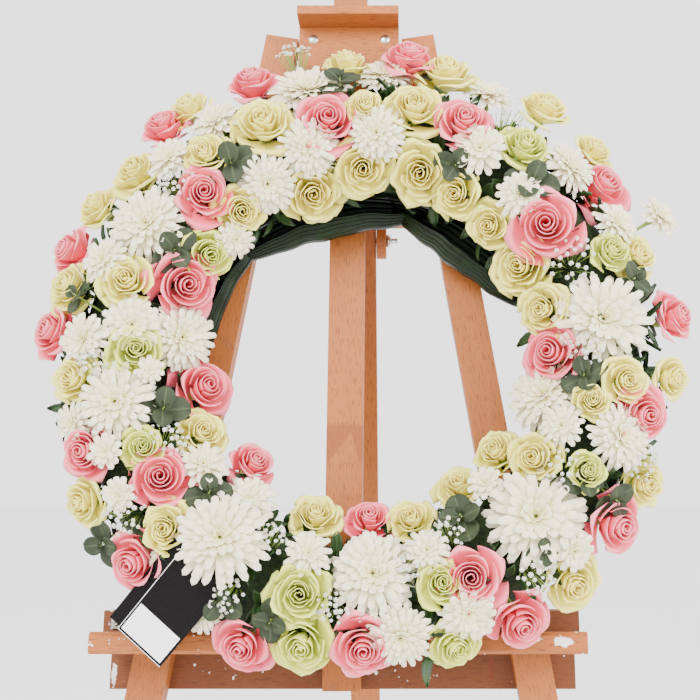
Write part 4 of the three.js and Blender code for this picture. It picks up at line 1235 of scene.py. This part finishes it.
        # The bed's near-black green is partly the greenery's own colour and partly painted shade in the
        # gaps between the blooms.
        bed_and_shade_paint = DullFinish("bed_greenery_and_painted_shade", (0.008, 0.022, 0.005), (0.028, 0.055, 0.012), 0.8, 320.0,
                          0.002).material()
        pieces: dict[str, bpy.types.Object] = {}
        for index, reading in enumerate(PINK_ROSES, start=1):
            heap = Heap()
            self.roses([reading], Rose.PINK, heap)
            pieces[f"pink_rose_{index:02d}"] = heap.build(f"rose_{index:02d}_petals", pink)
        green = [reading for reading in CREAM_ROSES if reading[:2] in GREENISH_ROSES]
        yellow = [reading for reading in CREAM_ROSES if reading not in green]
        large = [reading for reading in CHRYSANTHEMUMS if reading[2] > self.large_from]
        small = [reading for reading in CHRYSANTHEMUMS if reading not in large]
        for name, material, grow in (
                ("cream_roses", cream, lambda heap: self.roses(yellow, Rose.CREAM, heap)),
                ("greenish_roses", lime, lambda heap: self.roses(green, Rose.CREAM, heap)),
                ("chrysanthemums", white, lambda heap: self.chrysanthemums(large, heap)),
                ("small_chrysanthemums", white, lambda heap: self.chrysanthemums(small, heap)),
                ("gypsophila_heads", floret, self.gypsophila),
                ("eucalyptus_tips", gum, self.eucalyptus),
                ("filler_greenery", filler, self.filler_leaves),
                ("greenery_and_painted_shade_bed", bed_and_shade_paint, self.bed)):
            heap = Heap()
            grow(heap)
            pieces[name] = heap.build(name, material)
        pieces["flower_stems"] = self.stems.build("flower_stems", stem)
        return pieces


@dataclass
class WrapLeaf:
    """A ribbed dark leaf that bulges from the base's inner edge into the wreath's hole."""

    name: str
    middle: float
    half: float
    bulge: float
    ring: Ring
    stand: Stand
    path: tuple[tuple[float, float], ...] = ((176.15, 4), (143, 3), (121, 14), (118, 31), (136, 42))

    def build(self, material: bpy.types.Material) -> bpy.types.Object:
        """Builds the leaf: its path across is drawn smooth through the points, and its half-width
        swells as cos(pi t / 2) to the power 0.45 along it.

        Args:
            material: the leaf's material.

        Returns:
            The leaf.
        """
        rows, columns = 49, 33
        t = np.linspace(-1, 1, rows)
        knots = np.array(self.path)
        s = np.linspace(0, len(knots) - 1, columns)
        index = np.clip(s.astype(int), 0, len(knots) - 2)
        f = (s - index)[:, None]
        padded = np.vstack([2 * knots[0] - knots[1], knots, 2 * knots[-1] - knots[-2]])
        p0, p1, p2, p3 = (padded[index + k] for k in range(4))
        curve = 0.5 * (2 * p1 + (p2 - p0) * f + (2 * p0 - 5 * p1 + 4 * p2 - p3) * f ** 2
                       + (3 * p1 - p0 - 3 * p2 + p3) * f ** 3)
        swell = np.cos(t * math.pi / 2) ** 0.45 * self.bulge + 0.03
        wave = 1 + 0.02 * np.sin(9 * t + 2) + 0.015 * np.sin(17 * t)
        reach = knots[0, 0] + (curve[None, :, 0] - knots[0, 0]) * (swell * wave)[:, None]
        level = knots[0, 1] + (curve[None, :, 1] - knots[0, 1]) * swell[:, None]
        rib = 0.5 * np.sin(np.linspace(0, 22 * math.pi, columns))[None] * np.minimum(1, swell)[:, None]
        theta = np.radians(self.middle + self.half * t)[:, None]
        reach = reach + rib * 0.6
        sheet = stacked(reach * np.cos(theta), reach * np.sin(theta), level)
        tones = stacked(np.linspace(0, 1, columns)[None], 0.2, (t[:, None] + 1) / 2)
        heap = Heap()
        heap.add_sheets(self.stand.wreath(sheet)[None], 0.9, tones[None])
        return heap.build(f"{self.name}_blade", material)


@dataclass
class Cards:
    """The two black gift cards; the front one has a blank white panel at its lower end."""

    stand: Stand
    low: float = 56.0
    high: float = 99.0
    thick: float = 1.0

    def panel(self, material: bpy.types.Material) -> bpy.types.Object:
        """Builds the blank panel, a thin patch on the front card, with the card's two pale edges.

        Args:
            material: the panel's material.

        Returns:
            The panel.
        """
        corners = [self.stand.read(x, y, self.low if i < 2 else self.high)[0]
                   for i, (x, y) in enumerate(CARD_CORNERS)]
        across = corners[1] - corners[0]
        upward = corners[3] - corners[0]
        normal = unit(np.cross(across, upward))
        heap = Heap()
        for u0, u1, v0, v1, columns, rows, lift, thick in (
                (0.045, 0.955, 0.03, 0.345, 9, 6, 0.12, 0.2), (0.0, 0.009, 0.0, 1.0, 3, 9, 0.06, 0.1),
                (0.012, 1.0, 0.0, 0.005, 3, 9, 0.06, 0.1)):
            u = np.linspace(u0, u1, columns)[None, :, None]
            v = np.linspace(v0, v1, rows)[:, None, None]
            sheet = corners[0] + u * across + v * upward + normal * (self.thick / 2 + lift)
            heap.add_sheets(self.stand.wreath(sheet)[None], thick, np.full((1, rows, columns, 3), 0.5))
        return heap.build("card_panel", material, smooth=False)


@dataclass
class Hardware:
    """Turned bolts, the hinge bolt and the small plate on the tray's back board."""

    stand: Stand
    sides: int = 28
    plate_at: tuple[float, float, float, float] = (-210.5, -198.5, 845.0, 856.0)

    def turned(self, profile: Sequence[tuple[float, float]], place: Placing, heap: Heap) -> None:
        """Adds a profile turned about its axis: a radius r gives the circle r cos a, r sin a.

        Args:
            profile: places along the axis, each with its radius.
            place: gives points from their places along the axis and across it.
            heap: what the form is added to.
        """
        angle = 2 * math.pi * np.arange(self.sides) / self.sides
        along, radius = np.array(profile).T[..., None]
        points = place(along, radius * np.cos(angle), radius * np.sin(angle)).reshape(1, -1, 3)
        heap.add(points, lathe_quads(len(along), self.sides), np.full(points.shape, 0.5))

    def on_front(self, u: float, v: float) -> Placing:
        """Returns what places turned points along the front frame's w axis, at u and v."""
        return lambda w, across, up: self.stand.front(stacked(u + across, v + up, w))

    def domed_bolt(self, name: str, node: str, material: bpy.types.Material) -> bpy.types.Object:
        """Builds a coach bolt in the place of its CAD node: dome in front, nut behind.

        Args:
            name: the piece's name.
            node: the CAD node whose box gives its place.
            material: its metal.

        Returns:
            The bolt.
        """
        low, high = (np.array(corner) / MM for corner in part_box(node))
        centre = (low + high) / 2
        s, c = math.sin(self.stand.lean), math.cos(self.stand.lean)
        v = s * (centre[1] - self.stand.shift) + c * centre[2]
        w = -c * (centre[1] - self.stand.shift) + s * centre[2]
        head = 6.0
        length = (high[1] - low[1] - 2 * head * s) / c
        front, back = w + length / 2 - 0.5, w - length / 2 + 0.5
        dome = [(front - 3.3 + 3.3 * math.sin(a), head * math.cos(a)) for a in np.linspace(0, 1.45, 7)]
        heap = Heap()
        self.turned([
            (back, 2.6), (back, 5.2), (back + 0.5, 5.8), (back + 4.5, 5.8), (back + 5, 5.4),
            (back + 5, 3.0), (front - 3.4, 3.0), (front - 3.4, head), *dome,
            (front, 0.4)], self.on_front(centre[0], v), heap)
        return heap.build(name, material)

    def plate(self, material: bpy.types.Material) -> bpy.types.Object:
        """Builds the small screwed plate at the left end of the tray's back board.

        Args:
            material: its metal.

        Returns:
            The plate.
        """
        left, right, low, high = self.plate_at
        u = np.linspace(left, right, 9)[None, :]
        v = np.linspace(low, high, 9)[:, None]
        edge = np.minimum(np.minimum(u - left, right - u), np.minimum(v - low, high - v))
        w = 12.9 + 0.35 * np.clip(edge, 0, 1)
        sheet = self.stand.front(stacked(u, v, w))
        heap = Heap()
        heap.add_sheets(sheet[None], 0.8, np.full((1, 9, 9, 3), 0.5))
        self.turned([(13.2, 3.2), (14.2, 3.0), (15.0, 2.0), (15.2, 0.9), (14.6, 0.7), (14.6, 0.2)],
                    self.on_front(-205.5, 851), heap)
        return heap.build("tray_plate", material)

    def hinge_bolt(self, material: bpy.types.Material) -> bpy.types.Object:
        """Builds the hinge bolt along X, with a fine thread and a nut, in its CAD node's place.

        Args:
            material: its metal.

        Returns:
            The bolt.
        """
        low, high = (np.array(corner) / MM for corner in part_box("hinge_bolt"))
        middle = (low + high) / 2
        x0, x1 = low[0] + 0.2, high[0] - 0.2
        head = (high[2] - low[2]) / 2 - 0.3
        profile = [(x0, 0.6), (x0 + 0.4, head * 0.7), (x0 + 1.6, head), (x0 + 4, head), (x0 + 4, 3.0),
                   (x1 - 12, 3.0), (x1 - 12, head * 0.98), (x1 - 7.2, head * 0.98), (x1 - 7, 2.7)]
        for step in range(12):
            profile += [(x1 - 6.8 + step * 0.5, 2.6), (x1 - 6.55 + step * 0.5, 3.0)]
        heap = Heap()
        self.turned([*profile, (x1, 2.4), (x1, 0.4)],
                    lambda x, across, up: stacked(x, middle[1] + across, middle[2] + up), heap)
        return heap.build("hinge_bolt_turned", material)


def give(piece: bpy.types.Object, material: bpy.types.Material) -> None:
    """Gives a CAD piece its one material."""
    piece.data.materials.clear()
    piece.data.materials.append(material)


def settle(piece: bpy.types.Object, body: Body, slot: str, *nodes: str) -> None:
    """Tells the frame where a new piece belongs.

    Args:
        piece: the piece.
        body: the body it rides on.
        slot: not used.
        nodes: the CAD nodes it is shown for.
    """
    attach(piece, body.value)
    if nodes:
        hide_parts(*nodes)
    LOG.info("%s rides on %s: %d faces", piece.name, body.value, len(piece.data.polygons))


@dataclass
class Easel:
    """The beech boards, which keep their CAD solids and get rounded edges and grain."""

    nodes: dict[str, bpy.types.Object]
    stand: Stand
    edge: float = 1.1 * MM

    def dress(self, names: Sequence[str], finish: BeechFinish) -> None:
        """Gives boards their wood and takes the sharpness off their edges.

        Args:
            names: the boards' CAD nodes.
            finish: their beech.
        """
        material = finish.material()
        for name in names:
            board = self.nodes[name]
            give(board, material)
            softened = board.modifiers.new("rounded_edges", "BEVEL")
            softened.width = self.edge
            softened.segments = 2
            softened.limit_method = "ANGLE"
            softened.angle_limit = math.radians(35)
            LOG.info("board %s is beech", name)

    def build(self) -> None:
        """Dresses every board, with its grain along its own length; the rear board and the tray get
        darker copies of the beech, which paint the shade under and inside the tray.
        """
        lean, splay, level = self.stand.lean, math.atan(0.165), (0, math.pi / 2, 0)
        paint, stain = (0.80, 0.78, 0.74), (0.16, 0.032, 0.008)
        board_marks = ((-214, 781, 4, 16, paint), (-143, 768, 20, 6, stain), (-41, 769, 16, 6, stain),
                       (139, 784, 5, 16, stain))
        lip_marks = ((196, 829, 14, 6, paint), (168, 831, 14, 4, paint))
        for finish, *names in (
                (BeechFinish("beech_left_leg", (lean, -splay, 0)), "leg_left"),
                (BeechFinish("beech_right_leg", (lean, splay, 0)), "leg_right"),
                (BeechFinish("beech_mast", (lean, 0, 0), stained=True), "mast"),
                (BeechFinish("beech_rear_leg", (-0.27, 0, 0)),
                 "leg_rear", "hinge_ear_left", "hinge_ear_right"),
                # The rear board below the tray and the tray's back board and floor get darker beech
                # than the other boards: painted shade under and inside the tray.
                (BeechFinish("beech_rear_board_painted_shade", level, (0.18, 0.050, 0.011), (0.085, 0.022, 0.005),
                             specks=0.2, marks=board_marks), "rear_board"),
                (BeechFinish("beech_tray_painted_shade", level, (0.19, 0.054, 0.013), (0.10, 0.027, 0.006),
                             specks=0.2), "tray_back", "tray_floor"),
                (BeechFinish("beech_lip", level, (0.41, 0.122, 0.025), specks=0.4, marks=lip_marks),
                 "tray_lip"),
                (BeechFinish("beech_holder", level, (0.43, 0.132, 0.028)),
                 "yoke", "holder_plate", "holder_rear_plate", "holder_ledge")):
            self.dress(names, finish)


def make_camera(stand: Stand) -> None:
    """Sets the camera at the photograph's eye, level, with the shift that frames it.

    Args:
        stand: what knows where the eye is.
    """
    data = bpy.data.cameras.new("camera")
    data.lens = stand.eye_focus * data.sensor_width / stand.picture
    data.shift_x = -(stand.eye_middle[0] - stand.picture / 2) / stand.picture
    camera = bpy.data.objects.new("camera", data)
    camera.location = tuple(MM * c for c in stand.eye)
    camera.rotation_euler = (math.radians(90), 0, 0)
    bpy.context.scene.collection.objects.link(camera)
    bpy.context.scene.camera = camera


def make_studio() -> None:
    """Makes the white studio: a pale floor, an even white surround and two broad soft lights."""
    world = bpy.data.worlds.new("studio")
    world.use_nodes = True
    background = world.node_tree.nodes["Background"].inputs
    background[0].default_value = (1, 1, 1, 1)
    background[1].default_value = 2.5
    bpy.context.scene.world = world
    paint = Paint("studio_floor", 0.9)
    paint.shader.inputs["Base Color"].default_value = (0.9, 0.9, 0.9, 1)
    mesh = bpy.data.meshes.new("floor")
    mesh.from_pydata([(-6, -6, 0), (6, -6, 0), (6, 6, 0), (-6, 6, 0)], [], [(0, 1, 2, 3)])
    mesh.materials.append(paint.material)
    floor = bpy.data.objects.new("floor", mesh)
    bpy.context.scene.collection.objects.link(floor)
    for name, place, aim, size, power in (
            ("key_light", (-1.1, -2.4, 2.9), (0, -0.2, 1.1), 1.4, 115.0),
            ("side_light", (2.0, -1.4, 2.0), (0, -0.2, 1.1), 1.2, 75.0)):
        data = bpy.data.lights.new(name, "AREA")
        data.size = size
        data.energy = power
        light = bpy.data.objects.new(name, data)
        light.location = place
        toward = np.array(aim) - np.array(place)
        flat = math.hypot(toward[0], toward[1])
        light.rotation_euler = (math.atan2(flat, -toward[2]), 0, math.atan2(-toward[0], toward[1]))
        bpy.context.scene.collection.objects.link(light)


# Names, two colours, roughness, grain, depth of the grain in metres and gloss.
DULL_FINISHES = [
    ("card_white", (0.93, 0.93, 0.93), (0.96, 0.96, 0.96), 0.5, 700, 0.00005),
    ("ring_plastic", (0.004, 0.011, 0.005), (0.008, 0.018, 0.009), 0.5, 500, 0.0002, 0.25),
    ("floral_foam", (0.035, 0.085, 0.035), (0.075, 0.15, 0.07), 0.92, 900, 0.0008),
    ("card_black", (0.003, 0.0025, 0.0025), (0.006, 0.005, 0.005), 0.5, 600, 0.00006, 0.08),
]


def dress_flowers(stand: Stand, ring: Ring) -> None:
    """Grows the flowers and puts them in the place of their CAD nodes.

    Args:
        stand: where the wreath stands.
        ring: the wreath's section.
    """
    for name, piece in Flowers(ring, stand).build().items():
        pink = name.startswith("pink")
        slot = "dark_leaves" if name in GREENERY else "pink_petals" if pink else "cream_petals"
        covers = SECTORS if name in ("greenery_and_painted_shade_bed", "cream_roses", "chrysanthemums") else []
        settle(piece, Body.MAST, slot, *([name] if pink else covers))
    blade = LeafFinish("wrapping_leaves", (0.0014, 0.0055, 0.001), (0.0045, 0.019, 0.002), 0.24, 0.10,
                       17.0, 0.22).material()
    for name, middle, half, bulge in (
            ("wrap_leaf_left", 163, 38, 0.50), ("wrap_leaf_top", 104, 36, 0.72),
            ("wrap_leaf_upper_right", 51, 30, 0.72)):
        leaf = WrapLeaf(name, middle, half, bulge, ring, stand).build(blade)
        settle(leaf, Body.MAST, "dark_leaves", name)


def dress_hardware(nodes: dict[str, bpy.types.Object], stand: Stand) -> None:
    """Builds the metal pieces and gives the strap, the base, the foam and the cards their finish.

    Args:
        nodes: the CAD pieces by name.
        stand: where they stand.
    """
    metal = MetalFinish("zinc_plated_steel").material()
    dull = MetalFinish("dull_plate", (0.42, 0.40, 0.36), 0.4).material()
    hardware = Hardware(stand)
    for node, body in (("tray_bolt_left", Body.MAST), ("tray_bolt_right", Body.MAST),
                       ("holder_bolt_left", Body.HOLDER), ("holder_bolt_right", Body.HOLDER)):
        settle(hardware.domed_bolt(f"{node}_turned", node, metal), body, "steel", node)
    settle(hardware.hinge_bolt(metal), Body.FRAME, "steel", "hinge_bolt")
    settle(hardware.plate(dull), Body.MAST, "steel")
    white, plastic, foam, black = (DullFinish(*sizes).material() for sizes in DULL_FINISHES)
    settle(Cards(stand).panel(white), Body.MAST, "black_card")
    for name, material in (("mast_strap", metal), ("ring_base", plastic), ("foam_ring", foam),
                           ("card_front", black), ("card_rear", black)):
        give(nodes[name], material)


def main() -> None:
    """Builds the scene and reports each piece."""
    logging.basicConfig(level=logging.INFO, format="%(name)s: %(message)s")
    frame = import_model()
    stand = Stand()
    ring = Ring(stand)
    make_camera(stand)
    make_studio()
    Easel(frame["nodes"], stand).build()
    dress_hardware(frame["nodes"], stand)
    dress_flowers(stand, ring)


if __name__ == "__main__":
    main()
